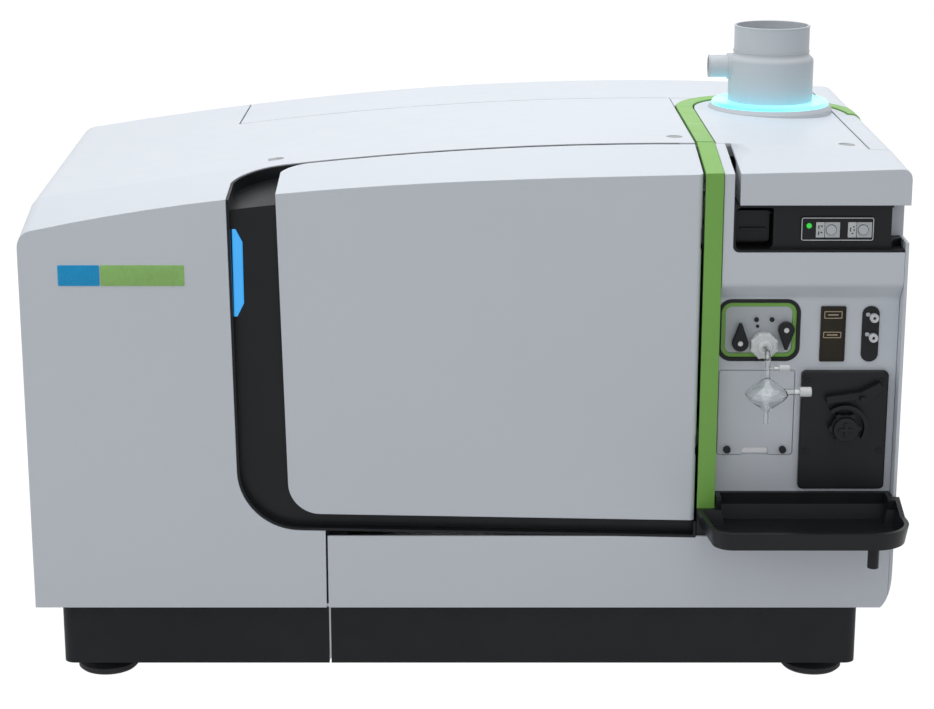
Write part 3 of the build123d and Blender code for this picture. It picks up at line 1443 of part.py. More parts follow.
all_parts = {
    "plinth_left": plinth_left, "plinth_right": plinth_right, "base_frame": base_frame.part,
    "levelling_feet": levelling_feet.part, "bottom_pan": bottom_pan, "cover_hoops": cover_hoops.part,
    "left_cover": left_cover.part, "rear_top_panel": rear_top_panel.part, "right_cover": right_cover.part,
    "rear_panel": rear_panel.part, "lower_front_panel": lower_front_panel.part, "door_post": door_post.part,
    "hinge_arms": hinge_arms.part, "hinge_pins": hinge_pins.part, "door": door.part,
    "door_bezel": door_bezel.part, "status_light": status_light.part, "green_strip": green_strip.part,
    "green_arch": green_arch.part, "hood": hood.part, "chimney": chimney.part, "light_ring": light_ring.part,
    "cover_fasteners": cover_fasteners.part, "right_fascia": right_fascia.part, "slot_bezel": slot_bezel.part,
    "latch_flap": latch_flap.part, "indicator_panel": indicator_panel.part, "button_left": button_left,
    "button_right": button_right, "torch_window_ring": torch_window_ring.part, "torch_plate": torch_plate.part,
    "torch_latch_left": torch_latch_left, "torch_latch_right": torch_latch_right,
    "torch_fitting": torch_fitting.part, "spray_chamber": spray_chamber.part, "nebuliser": nebuliser.part,
    "access_panel": access_panel.part, "thumbscrew_left": thumbscrew_left, "thumbscrew_right": thumbscrew_right,
    "window_panel": window_panel.part, "gas_port_plate": gas_port_plate.part, "gas_ports": gas_ports.part,
    "pump_plate": pump_plate.part, "pump_rotor": pump_rotor.part, "pump_clamp": pump_clamp.part,
    "panel_screws": panel_screws.part, "drip_tray": drip_tray.part, "torch_compartment": torch_compartment.part,
    "torch_tube": torch_tube.part, "load_coil": load_coil.part, "interface_block": interface_block.part,
    "sampler_cone": sampler_cone_piece, "vacuum_chamber": vacuum_chamber.part,
    "chamber_lid": chamber_lid.part, "quadrupole_rods": quadrupole_rods.part,
    "turbo_pumps": turbo_pumps.part, "rf_generator": rf_generator.part, "power_supply": power_supply.part,
    "fan_frame": fan_frame.part, "fan_rotor": fan_rotor.part,
}

os.makedirs("parts", exist_ok=True)
for name, part in all_parts.items():
    part.label = name
    export_step(part, f"parts/{name}.step")
print(len(all_parts), "parts")
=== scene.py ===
import json
import math

import bpy
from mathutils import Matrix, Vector


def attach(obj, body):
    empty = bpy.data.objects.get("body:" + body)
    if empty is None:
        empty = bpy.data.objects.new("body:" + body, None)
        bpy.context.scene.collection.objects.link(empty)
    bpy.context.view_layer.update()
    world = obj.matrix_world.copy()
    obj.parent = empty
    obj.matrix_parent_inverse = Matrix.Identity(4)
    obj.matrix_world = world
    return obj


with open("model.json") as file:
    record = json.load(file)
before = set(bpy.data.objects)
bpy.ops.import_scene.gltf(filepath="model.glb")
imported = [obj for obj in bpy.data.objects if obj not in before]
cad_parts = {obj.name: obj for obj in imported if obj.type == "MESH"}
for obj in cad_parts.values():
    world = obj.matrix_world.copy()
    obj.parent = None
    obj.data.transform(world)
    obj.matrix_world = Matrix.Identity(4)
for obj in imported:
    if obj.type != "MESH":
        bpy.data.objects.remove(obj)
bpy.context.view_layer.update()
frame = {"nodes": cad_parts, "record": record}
nodes = frame["nodes"]
mm = 0.001
print("frame loaded,", len(nodes), "nodes")

# camera and lamps

cameraSetup = {"place": (0.016, -2.939, 1.159), "tilt": 74.9, "lens": 86.3, "sensor": 36}
bpy.ops.object.camera_add(location=cameraSetup["place"], rotation=(math.radians(cameraSetup["tilt"]), 0, 0))
camera = bpy.context.object
camera.name = "studioCamera"
camera.data.lens = cameraSetup["lens"]
camera.data.sensor_width = cameraSetup["sensor"]
bpy.context.scene.camera = camera
bpy.context.scene.view_settings.view_transform = "Standard"

lamps = {
    "topSoftbox": {"place": (0.1, 0.2, 2.6), "aim": (0, 0.05, 0.6), "size": 2.6, "power": 36,
                   "colour": (0.97, 0.985, 1)},
    "leftSoftbox": {"place": (-2.6, -1.4, 1.9), "aim": (-0.2, 0, 0.4), "size": 1.8, "power": 12,
                    "colour": (1, 1, 1)},
    "frontFill": {"place": (0.6, -3.4, 1.7), "aim": (0.1, 0, 0.4), "size": 2.2, "power": 6,
                  "colour": (1, 0.99, 0.98)},
}
for lampName, lamp in lamps.items():
    place = Vector(lamp["place"])
    turn = (Vector(lamp["aim"]) - place).to_track_quat("-Z", "Y").to_euler()
    bpy.ops.object.light_add(type="AREA", location=place, rotation=turn)
    light = bpy.context.object
    light.name = lampName
    light.data.size = lamp["size"]
    light.data.energy = lamp["power"]
    light.data.color = lamp["colour"]
print("camera and", len(lamps), "lamps set")


# shader maths: sockets that take part in ordinary arithmetic

class Socket:
    def __init__(self, owner, out):
        self.owner = owner
        self.out = out

    def maths(self, operation, other):
        return self.owner.node("ShaderNodeMath", {"operation": operation}, {0: self, 1: other})

    def __add__(self, other):
        return self.maths("ADD", other)

    def __mul__(self, other):
        return self.maths("MULTIPLY", other)

    __radd__ = __add__
    __rmul__ = __mul__


class Nodes:  # the node tree of one material, or of the world
    def __init__(self, tree, outputKind="ShaderNodeOutputMaterial"):
        self.tree = tree
        self.tree.nodes.clear()
        self.output = self.tree.nodes.new(outputKind)

    def node(self, kind, settings=None, inputs=None, out=0):
        made = self.tree.nodes.new(kind)
        for key, value in (settings or {}).items():
            setattr(made, key, value)
        for key, value in (inputs or {}).items():
            if isinstance(value, Socket):
                self.tree.links.new(value.out, made.inputs[key])
            else:
                made.inputs[key].default_value = value
        return Socket(self, made.outputs[out])

    def place(self):
        return self.node("ShaderNodeTexCoord", out="Object")

    def noise(self, scale, detail=3.0, stretch=(1, 1, 1)):
        spread = self.node("ShaderNodeMapping", None, {"Vector": self.place(), "Scale": stretch})
        return self.node("ShaderNodeTexNoise", None, {"Vector": spread, "Scale": scale, "Detail": detail})

    def remap(self, value, toLow=0.0, toHigh=1.0, low=0.3, high=0.7):  # noise mostly stays between low and high
        ends = {"Value": value, "From Min": low, "From Max": high, "To Min": toLow, "To Max": toHigh}
        return self.node("ShaderNodeMapRange", {"clamp": True}, ends)

    def mix(self, mask, first, second):
        return self.node("ShaderNodeMix", {"data_type": "RGBA"}, {0: mask, 6: first, 7: second}, 2)

    def bump(self, height, distance, strength=1.0, corner=0.0):
        inputs = {"Height": height, "Distance": distance, "Strength": strength}
        if corner:
            inputs["Normal"] = self.node("ShaderNodeBevel", {"samples": 6}, {"Radius": corner})
        return self.node("ShaderNodeBump", None, inputs)

    def principled(self, inputs):
        return self.node("ShaderNodeBsdfPrincipled", None, inputs)

    def surface(self, shader):
        self.tree.links.new(shader.out, self.output.inputs["Surface"])


def newMaterial(name):
    material = bpy.data.materials.new(name)
    material.use_nodes = True
    return material, Nodes(material.node_tree)


def tone(colour, factor=1.0):
    return tuple(channel * factor for channel in colour[:3]) + (1,)


finishes = {}

# moulded and painted finishes: colour and how far it drifts, gloss, grain per metre and its height, softened edge
mouldings = {
    "cover_white": {"colour": (0.77, 0.805, 0.86), "drift": 0.008, "rough": 0.42, "grain": 1200,
                    "height": 0.05, "edge": 1.2},
    "plinth_black": {"colour": (0.012, 0.013, 0.016), "drift": 0.15, "rough": 0.5, "grain": 1500,
                     "height": 0.12, "edge": 1.0, "shine": 0.22},
    "trim_black": {"colour": (0.011, 0.012, 0.0145), "drift": 0.15, "rough": 0.36, "grain": 1800,
                   "height": 0.05, "edge": 0.6, "shine": 0.22},
    "trim_green": {"colour": (0.24, 0.53, 0.10), "drift": 0.04, "rough": 0.38, "grain": 1200,
                   "height": 0.04, "edge": 0.8},
    "chimney_grey": {"colour": (0.64, 0.67, 0.705), "drift": 0.02, "rough": 0.45, "grain": 1000,
                     "height": 0.05, "edge": 1.0},
    "plate_grey": {"colour": (0.62, 0.65, 0.68), "drift": 0.04, "rough": 0.4, "grain": 1500,
                   "height": 0.04, "edge": 0.4},
    "panel_grey": {"colour": (0.66, 0.68, 0.70), "drift": 0.03, "rough": 0.34, "grain": 2000,
                   "height": 0.02, "edge": 0.3},
    "fitting_white": {"colour": (0.86, 0.87, 0.88), "drift": 0.03, "rough": 0.3, "grain": 2000,
                      "height": 0.02, "edge": 0.4},
    "foot_rubber": {"colour": (0.045, 0.045, 0.05), "drift": 0.3, "rough": 0.75, "grain": 1300,
                    "height": 0.15, "edge": 0.8},
    "case_grey": {"colour": (0.40, 0.43, 0.46), "drift": 0.06, "rough": 0.45, "grain": 700,
                  "height": 0.06, "edge": 0.6},
}
moulded = {"cloud": 4, "wear": 35, "smoother": 0.05, "rougher": 0.06, "relief": 0.35, "shine": 0.4}
for slotName, look in mouldings.items():
    finishes[slotName], make = newMaterial(slotName)
    cloud = make.remap(make.noise(moulded["cloud"], 2))
    colour = make.mix(cloud, tone(look["colour"], 1 - look["drift"]), tone(look["colour"], 1 + look["drift"]))
    rough = make.remap(make.noise(moulded["wear"], 4), look["rough"] - moulded["smoother"],
                       look["rough"] + moulded["rougher"])
    normal = make.bump(make.noise(look["grain"], 2), look["height"] * mm, moulded["relief"], look["edge"] * mm)
    shine = look.get("shine", moulded["shine"])
    make.surface(make.principled({"Base Color": colour, "Roughness": rough, "Specular IOR Level": shine,
                                  "Normal": normal}))

# metals: colour, roughness, and how long the brush marks are along each axis
metals = {
    "frame_steel": {"colour": (0.50, 0.51, 0.53), "rough": 0.34, "brush": (1, 1, 14)},
    "chamber_aluminium": {"colour": (0.72, 0.73, 0.75), "rough": 0.3, "brush": (1, 12, 12)},
    "cone_nickel": {"colour": (0.66, 0.65, 0.62), "rough": 0.22, "brush": (6, 1, 6)},
    "screw_steel": {"colour": (0.33, 0.34, 0.36), "rough": 0.3, "brush": (4, 4, 1)},
    "coil_copper": {"colour": (0.80, 0.42, 0.27), "rough": 0.2, "brush": (1, 6, 1)},
}
brushed = {"marks": 90, "smoother": 0.08, "rougher": 0.12, "darker": 0.88, "height": 0.03, "relief": 0.3, "edge": 0.4}
for slotName, look in metals.items():
    finishes[slotName], make = newMaterial(slotName)
    marks = make.noise(brushed["marks"], 5, look["brush"])
    rough = make.remap(marks, look["rough"] - brushed["smoother"], look["rough"] + brushed["rougher"], 0.25, 0.75)
    colour = make.mix(make.remap(marks), tone(look["colour"], brushed["darker"]), tone(look["colour"]))
    normal = make.bump(marks, brushed["height"] * mm, brushed["relief"], brushed["edge"] * mm)
    make.surface(make.principled({"Base Color": colour, "Roughness": rough, "Metallic": 1.0, "Normal": normal}))

# blown glass: clear, with faint draw waves
glass = {"colour": (0.97, 0.985, 0.99), "rough": 0.03, "index": 1.46, "waves": 60, "stretch": (1, 1, 0.3),
         "height": 0.2, "relief": 0.25}
finishes["clear_glass"], make = newMaterial("clear_glass")
waves = make.bump(make.noise(glass["waves"], 2, glass["stretch"]), glass["height"] * mm, glass["relief"])
make.surface(make.principled({"Base Color": tone(glass["colour"]), "Roughness": glass["rough"],
                              "Transmission Weight": 1.0, "IOR": glass["index"], "Normal": waves}))

# tinted sight window
tinted = {"dark": (0.020, 0.015, 0.008), "light": (0.032, 0.025, 0.014), "cloud": 30, "wear": 200,
          "rough": (0.14, 0.24), "shine": 0.15, "coat": 0.06}
finishes["window_brown"], make = newMaterial("window_brown")
depthTint = make.mix(make.remap(make.noise(tinted["cloud"], 3)), tone(tinted["dark"]), tone(tinted["light"]))
rough = make.remap(make.noise(tinted["wear"], 4), *tinted["rough"])
make.surface(make.principled({"Base Color": depthTint, "Roughness": rough, "Specular IOR Level": tinted["shine"],
                              "Coat Weight": tinted["coat"]}))

# lit diffusers: the glow drifts softly between two tones
lights = {
    "light_blue": {"dim": (0.03, 0.33, 0.9), "bright": (0.06, 0.47, 1.0), "strength": 0.78, "scale": 6},
    "light_cyan": {"dim": (0.10, 0.72, 1.0), "bright": (0.32, 0.92, 1.0), "strength": 1.5, "scale": 9},
}
diffuser = {"unlit": 0.3, "rough": 0.25}
for slotName, look in lights.items():
    finishes[slotName], make = newMaterial(slotName)
    patch = make.remap(make.noise(look["scale"], 1), low=0.35, high=0.65)
    glow = make.mix(patch, tone(look["dim"]), tone(look["bright"]))
    make.surface(make.principled({
        "Base Color": tone(look["dim"], diffuser["unlit"]), "Roughness": diffuser["rough"], "Emission Color": glow,
        "Emission Strength": look["strength"]}))

# lamp lens, key marks and badge inks
inks = {
    "lampGreen": {"colour": (0.01, 0.09, 0.01), "glow": (0.03, 0.62, 0.05), "rough": 0.15},
    "badgeBlueInk": {"colour": (0.008, 0.40, 0.80), "rough": 0.28},
    "badgeGreenInk": {"colour": (0.36, 0.66, 0.19), "rough": 0.28},
    "markTan": {"colour": (0.62, 0.50, 0.34), "rough": 0.4},
    "markPale": {"colour": (0.74, 0.75, 0.76), "rough": 0.4},
    "markDark": {"colour": (0.05, 0.052, 0.056), "rough": 0.4},
}
inked = {"cloud": 80, "darker": 0.93, "lighter": 1.05, "wear": 300, "change": 0.05, "shine": 0.3}
for inkName, look in inks.items():
    finishes[inkName], make = newMaterial(inkName)
    cloud = make.remap(make.noise(inked["cloud"], 3))
    colour = make.mix(cloud, tone(look["colour"], inked["darker"]), tone(look["colour"], inked["lighter"]))
    rough = make.remap(make.noise(inked["wear"], 3), look["rough"] - inked["change"], look["rough"] + inked["change"])
    inputs = {"Base Color": colour, "Roughness": rough, "Specular IOR Level": inked["shine"]}
    if "glow" in look:
        inputs.update({"Emission Color": tone(look["glow"]), "Emission Strength": 1.0})
    make.surface(make.principled(inputs))
print(len(finishes), "materials made")

for subpart in frame["record"]["subparts"]:
    for slot in nodes[subpart["node"]].material_slots:
        slot.material = finishes[subpart["material_slot"]]
print("materials put on the nodes")

# backdrop: white to the eye, a pale floor to everything else

def seenDirectly(make):
    path = make.node("ShaderNodeLightPath")
    rays = path.out.node.outputs
    seen = Socket(make, rays["Is Camera Ray"]) + Socket(make, rays["Is Glossy Ray"])
    seen = seen + Socket(make, rays["Is Transmission Ray"])
    return seen.maths("MINIMUM", 1.0)


studio = {"ambient": 0.36, "tint": (0.93, 0.965, 1.0), "floorTone": 0.7, "floorWhite": 0.9, "floorGlow": 1.12,
          "floorSize": 14}
world = bpy.data.worlds.new("studioWorld")
bpy.context.scene.world = world
world.use_nodes = True
make = Nodes(world.node_tree, "ShaderNodeOutputWorld")
seen = seenDirectly(make)
ambient = make.mix(seen, tone(studio["tint"], studio["ambient"]), (1, 1, 1, 1))
make.surface(make.node("ShaderNodeBackground", None, {"Color": ambient, "Strength": 1.0}))

bpy.ops.mesh.primitive_plane_add(size=studio["floorSize"])
floor = bpy.context.object
floor.name = "studioFloor"
floorMaterial, make = newMaterial("studioFloor")
matt = make.node("ShaderNodeBsdfDiffuse", None, {"Color": tone((1, 1, 1), studio["floorTone"])})
white = make.node("ShaderNodeEmission", None, {"Color": (1, 1, 1, 1), "Strength": studio["floorGlow"]})
share = seenDirectly(make) * studio["floorWhite"]
make.surface(make.node("ShaderNodeMixShader", None, {0: share, 1: matt, 2: white}))
floor.data.materials.append(floorMaterial)
print("backdrop set")

# modelling helpers: sizes in millimetres, fronts face -Y

def pickPiece(piece):
    bpy.ops.object.select_all(action="DESELECT")
    piece.select_set(True)
    bpy.context.view_layer.objects.active = piece


def startEdit(piece, mode="EDGE"):
    pickPiece(piece)
    bpy.ops.object.mode_set(mode="EDIT")
    bpy.ops.mesh.select_mode(type=mode)
    bpy.ops.mesh.select_all(action="DESELECT")
    bpy.ops.object.mode_set(mode="OBJECT")


def pickEdges(piece, wanted):  # wanted takes the two end points
    startEdit(piece)
    points = piece.data.vertices
    for edge in piece.data.edges:
        edge.select = wanted(points[edge.vertices[0]].co, points[edge.vertices[1]].co)
    bpy.ops.object.mode_set(mode="EDIT")


def pickFaces(piece, wanted):  # wanted takes a face
    startEdit(piece, "FACE")
    for face in piece.data.polygons:
        face.select = wanted(face)
    bpy.ops.object.mode_set(mode="EDIT")


def applyPlace(piece):
    pickPiece(piece)
    bpy.ops.object.transform_apply(location=True, rotation=True, scale=True)


def near(first, second, reach=0.01):
    return abs(first - second) < reach * mm


def softenFront(piece, width):
    nearest = min(point.co.y for point in piece.data.vertices)
    pickEdges(piece, lambda a, b: near(a.y, nearest) and near(b.y, nearest))
    bpy.ops.mesh.bevel(offset=width * mm, segments=2, affect="EDGES")
    bpy.ops.object.mode_set(mode="OBJECT")


def roundedPlate(look):
    x0, x1, y0, y1, z0, z1 = (value * mm for value in look["box"])
    bpy.ops.mesh.primitive_cube_add(size=1, location=((x0 + x1) / 2, (y0 + y1) / 2, (z0 + z1) / 2))
    piece = bpy.context.object
    piece.scale = (x1 - x0, y1 - y0, z1 - z0)
    applyPlace(piece)
    pickEdges(piece, lambda a, b: near(a.x, b.x) and near(a.z, b.z))
    bpy.ops.mesh.bevel(offset=look["corner"] * mm, segments=look.get("segments", 5), affect="EDGES")
    bpy.ops.object.mode_set(mode="OBJECT")
    if "rim" in look:  # open the plate to a frame of this width
        pickFaces(piece, lambda face: abs(face.normal.y) > 0.9)
        bpy.ops.mesh.inset(thickness=look["rim"] * mm, use_individual=True)
        bpy.ops.mesh.bridge_edge_loops()
        bpy.ops.object.mode_set(mode="OBJECT")
    if look.get("edge"):
        softenFront(piece, look["edge"])
    return piece


def turnedDisc(look):  # a disc whose front is worked in steps: inset, then pushed forward (or back when negative)
    x, y, z = (value * mm for value in look["at"])
    depth = look["depth"] * mm
    bpy.ops.mesh.primitive_cylinder_add(vertices=look.get("sides", 40), radius=look["radius"] * mm, depth=depth,
                                        location=(x, y - depth / 2, z), rotation=(math.radians(90), 0, 0))
    piece = bpy.context.object
    applyPlace(piece)
    front = Vector((x, y - depth, z))
    for inset, forward in look["steps"]:
        pickFaces(piece, lambda face: face.normal.y < -0.9 and (face.center - front).length < 0.1 * mm)
        bpy.ops.mesh.inset(thickness=inset * mm)
        bpy.ops.transform.translate(value=(0, -forward * mm, 0))
        bpy.ops.object.mode_set(mode="OBJECT")
        front.y -= forward * mm
    return piece


def cutWith(piece, drill):  # take the drill's shape out of the piece, then drop the drill
    bpy.ops.object.select_all(action="DESELECT")
    bpy.context.view_layer.objects.active = piece
    cut = piece.modifiers.new("cut", "BOOLEAN")
    cut.object = drill
    cut.operation = "DIFFERENCE"
    bpy.ops.object.modifier_apply(modifier="cut")
    drill.select_set(True)
    bpy.ops.object.delete()


def drillHole(piece, x, z, radius):
    bpy.ops.mesh.primitive_cylinder_add(vertices=40, radius=radius * mm, depth=0.1,
                                        location=(x * mm, piece.data.vertices[0].co.y, z * mm),
                                        rotation=(math.radians(90), 0, 0))
    cutWith(piece, bpy.context.object)


def repeatPiece(piece, places):  # copies, each with its own mesh, from the first (x, z) place to the others
    row = [piece]
    firstX, firstZ = places[0]
    for x, z in places[1:]:
        pickPiece(piece)
        bpy.ops.object.duplicate()
        twin = bpy.context.object
        bpy.ops.transform.translate(value=((x - firstX) * mm, 0, (z - firstZ) * mm))
        applyPlace(twin)
        row.append(twin)
    return row


def finishPiece(piece, name, look, angle=38):
    pickPiece(piece)
    bpy.ops.object.shade_smooth_by_angle(angle=math.radians(angle))
    piece.name = name
    piece.data.materials.clear()
    piece.data.materials.append(finishes[look["finish"]])
    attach(piece, look["body"])


def finishRow(row, name, look):
    for number, piece in enumerate(row):
        finishPiece(piece, name + str(number), look)


def onHousing(finish, slot=None):  # the finish that shows, and the part's slot that stands for it
    return {"finish": finish, "slot": slot or finish, "body": "housing"}


# plain coloured bar on the left cover, where such an instrument carries its badge
badgeBars = {
    "badgeBlue": {"box": (-479, -428.6, -300.9, -299.7, 533, 558.5), "corner": 1.2, "edge": 0.3,
                  **onHousing("badgeBlueInk", "light_blue")},
    "badgeGreen": {"box": (-427.4, -326, -300.9, -299.7, 533, 558.5), "corner": 1.2, "edge": 0.3,
                   **onHousing("badgeGreenInk", "trim_green")},
}
for pieceName, look in badgeBars.items():
    finishPiece(roundedPlate(look), pieceName, look)
print("badge bars made")

# indicator panel: pale outline, lamp with its bezel, two key modules with plain marks
indicator = {"front": -292, "outline": (419.4, 506.6, 587.4, 615.6), "buttonXs": (455.5, 494), "buttonZ": 600.5,
             "keyHeight": 18.8, "keyDepth": 0.7, "lampX": 428.5, "lampZ": 605.7}
front, buttonZ = indicator["front"], indicator["buttonZ"]
x0, x1, z0, z1 = indicator["outline"]
outline = {"box": (x0, x1, front - 0.45, front + 0.1, z0, z1), "corner": 2.6, "rim": 1.0,
           **onHousing("markPale", "panel_grey")}
finishPiece(roundedPlate(outline), "indicatorOutline", outline)

lampBezel = {"at": (indicator["lampX"], front + 0.1, indicator["lampZ"]), "radius": 4.2, "depth": 1.3,
             "steps": [(0.9, -0.8)], **onHousing("markDark", "trim_black")}
finishPiece(turnedDisc(lampBezel), "lampBezel", lampBezel)
lampLens = {"at": (indicator["lampX"], front - 0.3, indicator["lampZ"]), "radius": 3.1, "depth": 0.9,
            "steps": [(0.7, 0.5), (1.0, 0.3)], **onHousing("lampGreen", "trim_green")}
finishPiece(turnedDisc(lampLens), "lampLens", lampLens)

buttons = [(x, buttonZ) for x in indicator["buttonXs"]]
firstX = indicator["buttonXs"][0]
keySpan = (front - 0.1, front + indicator["keyDepth"], buttonZ - indicator["keyHeight"] / 2,
           buttonZ + indicator["keyHeight"] / 2)
pad = {"box": (firstX - 18.4, firstX - 8.2, *keySpan), "corner": 0.6, "edge": 0.2,
       **onHousing("markPale", "panel_grey")}
finishRow(repeatPiece(roundedPlate(pad), buttons), "keyPad", pad)
keyFrame = {"box": (firstX - 7.6, firstX + 10.4, *keySpan), "corner": 0.6, "hole": 6.6, **onHousing("plate_grey")}
framePlate = roundedPlate(keyFrame)
drillHole(framePlate, firstX, buttonZ, keyFrame["hole"])
finishRow(repeatPiece(framePlate, buttons), "keyFrame", keyFrame)

# marks of each key: across and up from its middle, width, height
keyMarks = {"right": 0.4, "depth": 0.3, "sets": (
    ((-15.6, 3.6, 1.3, 4.6), (-12.2, 4.6, 2.6, 1.3), (-15.6, -4.2, 1.3, 4.6), (-12.2, -3.2, 2.6, 1.3)),
    ((-15.8, 0.4, 1.3, 5.0), (-12.0, 3.8, 2.2, 1.2), (-11.4, -0.2, 1.2, 2.8), (-13.2, -4.4, 2.4, 1.2)))}
for side, buttonX in enumerate(indicator["buttonXs"]):
    for number, (across, up, wide, tall) in enumerate(keyMarks["sets"][side]):
        x, z = buttonX + across + keyMarks["right"], buttonZ + up
        mark = {"box": (x - wide / 2, x + wide / 2, front - keyMarks["depth"], front, z - tall / 2, z + tall / 2),
                "corner": 0.3, "segments": 2, **onHousing("markDark", "trim_black")}
        finishPiece(roundedPlate(mark), "keyMark" + str(side) + str(number), mark)
print("indicator panel dressed")

# sight window: two tan outlines, each round a plain bar
sight = {"outlines": ((453.4, 475.4, 487.4, 496.6), (453.0, 475.0, 462.8, 470.6)), "front": -281.3,
         "barFront": -281.25, "back": -280.8, "indent": 4.5, "barHeight": 1.4}
for number, (x0, x1, z0, z1) in enumerate(sight["outlines"]):
    tanOutline = {"box": (x0, x1, sight["front"], sight["back"], z0, z1), "corner": 0.8, "rim": 0.9,
                  **onHousing("markTan", "plate_grey")}
    finishPiece(roundedPlate(tanOutline), "sightOutline" + str(number), tanOutline)
middles = [((x0 + x1) / 2, (z0 + z1) / 2) for x0, x1, z0, z1 in sight["outlines"]]
x0, x1 = sight["outlines"][0][:2]
middleZ = middles[0][1]
bar = {"box": (x0 + sight["indent"], x1 - sight["indent"], sight["barFront"], sight["back"],
               middleZ - sight["barHeight"] / 2, middleZ + sight["barHeight"] / 2), "corner": 0.5, "segments": 2,
       **onHousing("markTan", "plate_grey")}
finishRow(repeatPiece(roundedPlate(bar), middles), "sightBar", bar)
print("sight window marked")

# torch mount: a dark frame round the green ring as painted shade of the window recess, pivot screws in the latches,
# lobes on the clamp nut, ring round the cup
# painted shade: a dark frame in the gap round the green ring stands for the shaded wall of the recess
shadeFrame = {"box": (323.2, 424.8, -281.0, -277.6, 433.2, 511.8), "corner": 17.6, "segments": 12, "rim": 4.7,
          "edge": 0.5, **onHousing("trim_black")}
finishPiece(roundedPlate(shadeFrame), "windowShadeFrame", shadeFrame)

latches = {"torch_latch_left": (351, 457), "torch_latch_right": (407, 474)}
pivotX, pivotZ = latches["torch_latch_left"]
pivotScrew = {"at": (pivotX, -286.7, pivotZ), "radius": 3.2, "depth": 1.0, "steps": [(0.5, 0.25), (0.9, -0.5)],
              "finish": "fitting_white", "slot": "fitting_white"}
pivots = repeatPiece(turnedDisc(pivotScrew), list(latches.values()))
for latchBody, screw in zip(latches, pivots):
    finishPiece(screw, latchBody + "Screw", {**pivotScrew, "body": latchBody})

torch = {"x": 380, "z": 455, "lobes": 8, "lobeRing": 14.4, "cupHole": 3.6}
angles = [2 * math.pi * (number + 0.5) / torch["lobes"] for number in range(torch["lobes"])]
lobePlaces = [(torch["x"] + torch["lobeRing"] * math.cos(angle), torch["z"] + torch["lobeRing"] * math.sin(angle))
              for angle in angles]
lobe = {"at": (lobePlaces[0][0], -284.2, lobePlaces[0][1]), "radius": 3.0, "depth": 6.6, "sides": 24,
        "steps": [(0.8, 0.6)], **onHousing("fitting_white")}
finishRow(repeatPiece(turnedDisc(lobe), lobePlaces), "clampLobe", lobe)

cupRing = {"at": (torch["x"], -300.5, torch["z"]), "radius": 7.4, "depth": 3.2, "steps": [(0.8, 0.6), (2.0, -0.4)],
           **onHousing("fitting_white")}
ring = turnedDisc(cupRing)
drillHole(ring, torch["x"], torch["z"], torch["cupHole"])
finishPiece(ring, "cupRing", cupRing)
print("torch mount dressed")

# gas ports: collet ring and release tab
ports = [(514, 489), (514, 464)]
portX, portZ = ports[0]
collet = {"at": (portX, -287.4, portZ), "radius": 4.4, "depth": 1.6, "hole": 2.0, "steps": [(0.6, 0.4), (1.2, -0.9)],
          **onHousing("fitting_white")}
ring = turnedDisc(collet)
drillHole(ring, portX, portZ, collet["hole"])
finishRow(repeatPiece(ring, ports), "portCollet", collet)
tab = {"box": (portX - 9.8, portX - 4.8, -283.6, -281.4, portZ + 1.5, portZ + 6.0), "corner": 1.2, "edge": 0.4,
       **onHousing("plate_grey")}
finishRow(repeatPiece(roundedPlate(tab), ports), "portTab", tab)
print("gas ports dressed")

# rear connector panel: power inlet, rocker switch and three gas bulkheads, on the rear panel's face
rear = {"face": 400.0, "panel": (-120, 60, 150, 214), "thick": 2.0, "inletX": -78, "switchX": -30,
        "bulkheadXs": (2, 24, 46), "middle": 182, "screwInset": 7}


def turnedToRear(row):  # pieces are built facing the front, then turned about the rear face
    for piece in row:
        pickPiece(piece)
        bpy.ops.transform.rotate(value=math.pi, orient_axis="Z", center_override=(0, rear["face"] * mm, 0))
        applyPlace(piece)
    return row


def plateRound(x, z, wide, tall, y0, y1):
    return (x - wide / 2, x + wide / 2, y0, y1, z - tall / 2, z + tall / 2)


def finishRearPlate(name, look):
    finishPiece(turnedToRear([roundedPlate(look)])[0], name, look)


x0, x1, z0, z1 = rear["panel"]
face, middle = rear["face"], rear["middle"]
seat = face - rear["thick"]
connectorPanel = {"box": (x0, x1, face - 2.2, face + 0.5, z0, z1), "corner": 5, "edge": 0.6, **onHousing("case_grey")}
finishRearPlate("connectorPanel", connectorPanel)
inletRim = {"box": plateRound(rear["inletX"], middle, 30, 24, face - 5.5, seat), "corner": 4, "rim": 2.2,
            "edge": 0.7, **onHousing("trim_black")}
finishRearPlate("inletRim", inletRim)
inletCore = {"box": plateRound(rear["inletX"], middle, 21, 14, face - 4.4, seat), "corner": 2.2, "edge": 0.4,
             **onHousing("plinth_black")}
finishRearPlate("inletCore", inletCore)

pinPlaces = [(rear["inletX"] + across, middle + up) for across, up in ((-5, -1.5), (5, -1.5), (0, 2.5))]
pin = {"box": plateRound(*pinPlaces[0], 1.6, 4, face - 5.6, face - 4.3), "corner": 0.5, "segments": 2,
       **onHousing("cone_nickel")}
finishRow(turnedToRear(repeatPiece(roundedPlate(pin), pinPlaces)), "inletPin", pin)

switchRim = {"box": plateRound(rear["switchX"], middle, 16, 24, face - 4.2, seat), "corner": 2, "rim": 1.4,
             "edge": 0.4, **onHousing("trim_black")}
finishRearPlate("switchRim", switchRim)
rockers = {"rise": (-5, 5), "depth": (3.6, 5.0)}  # the upper half stands out further
for number, (rise, depth) in enumerate(zip(rockers["rise"], rockers["depth"])):
    rocker = {"box": plateRound(rear["switchX"], middle + rise, 12, 10, face - depth, seat), "corner": 0.8,
              "edge": 0.6, "segments": 3, **onHousing("plinth_black")}
    finishRearPlate("rocker" + str(number), rocker)

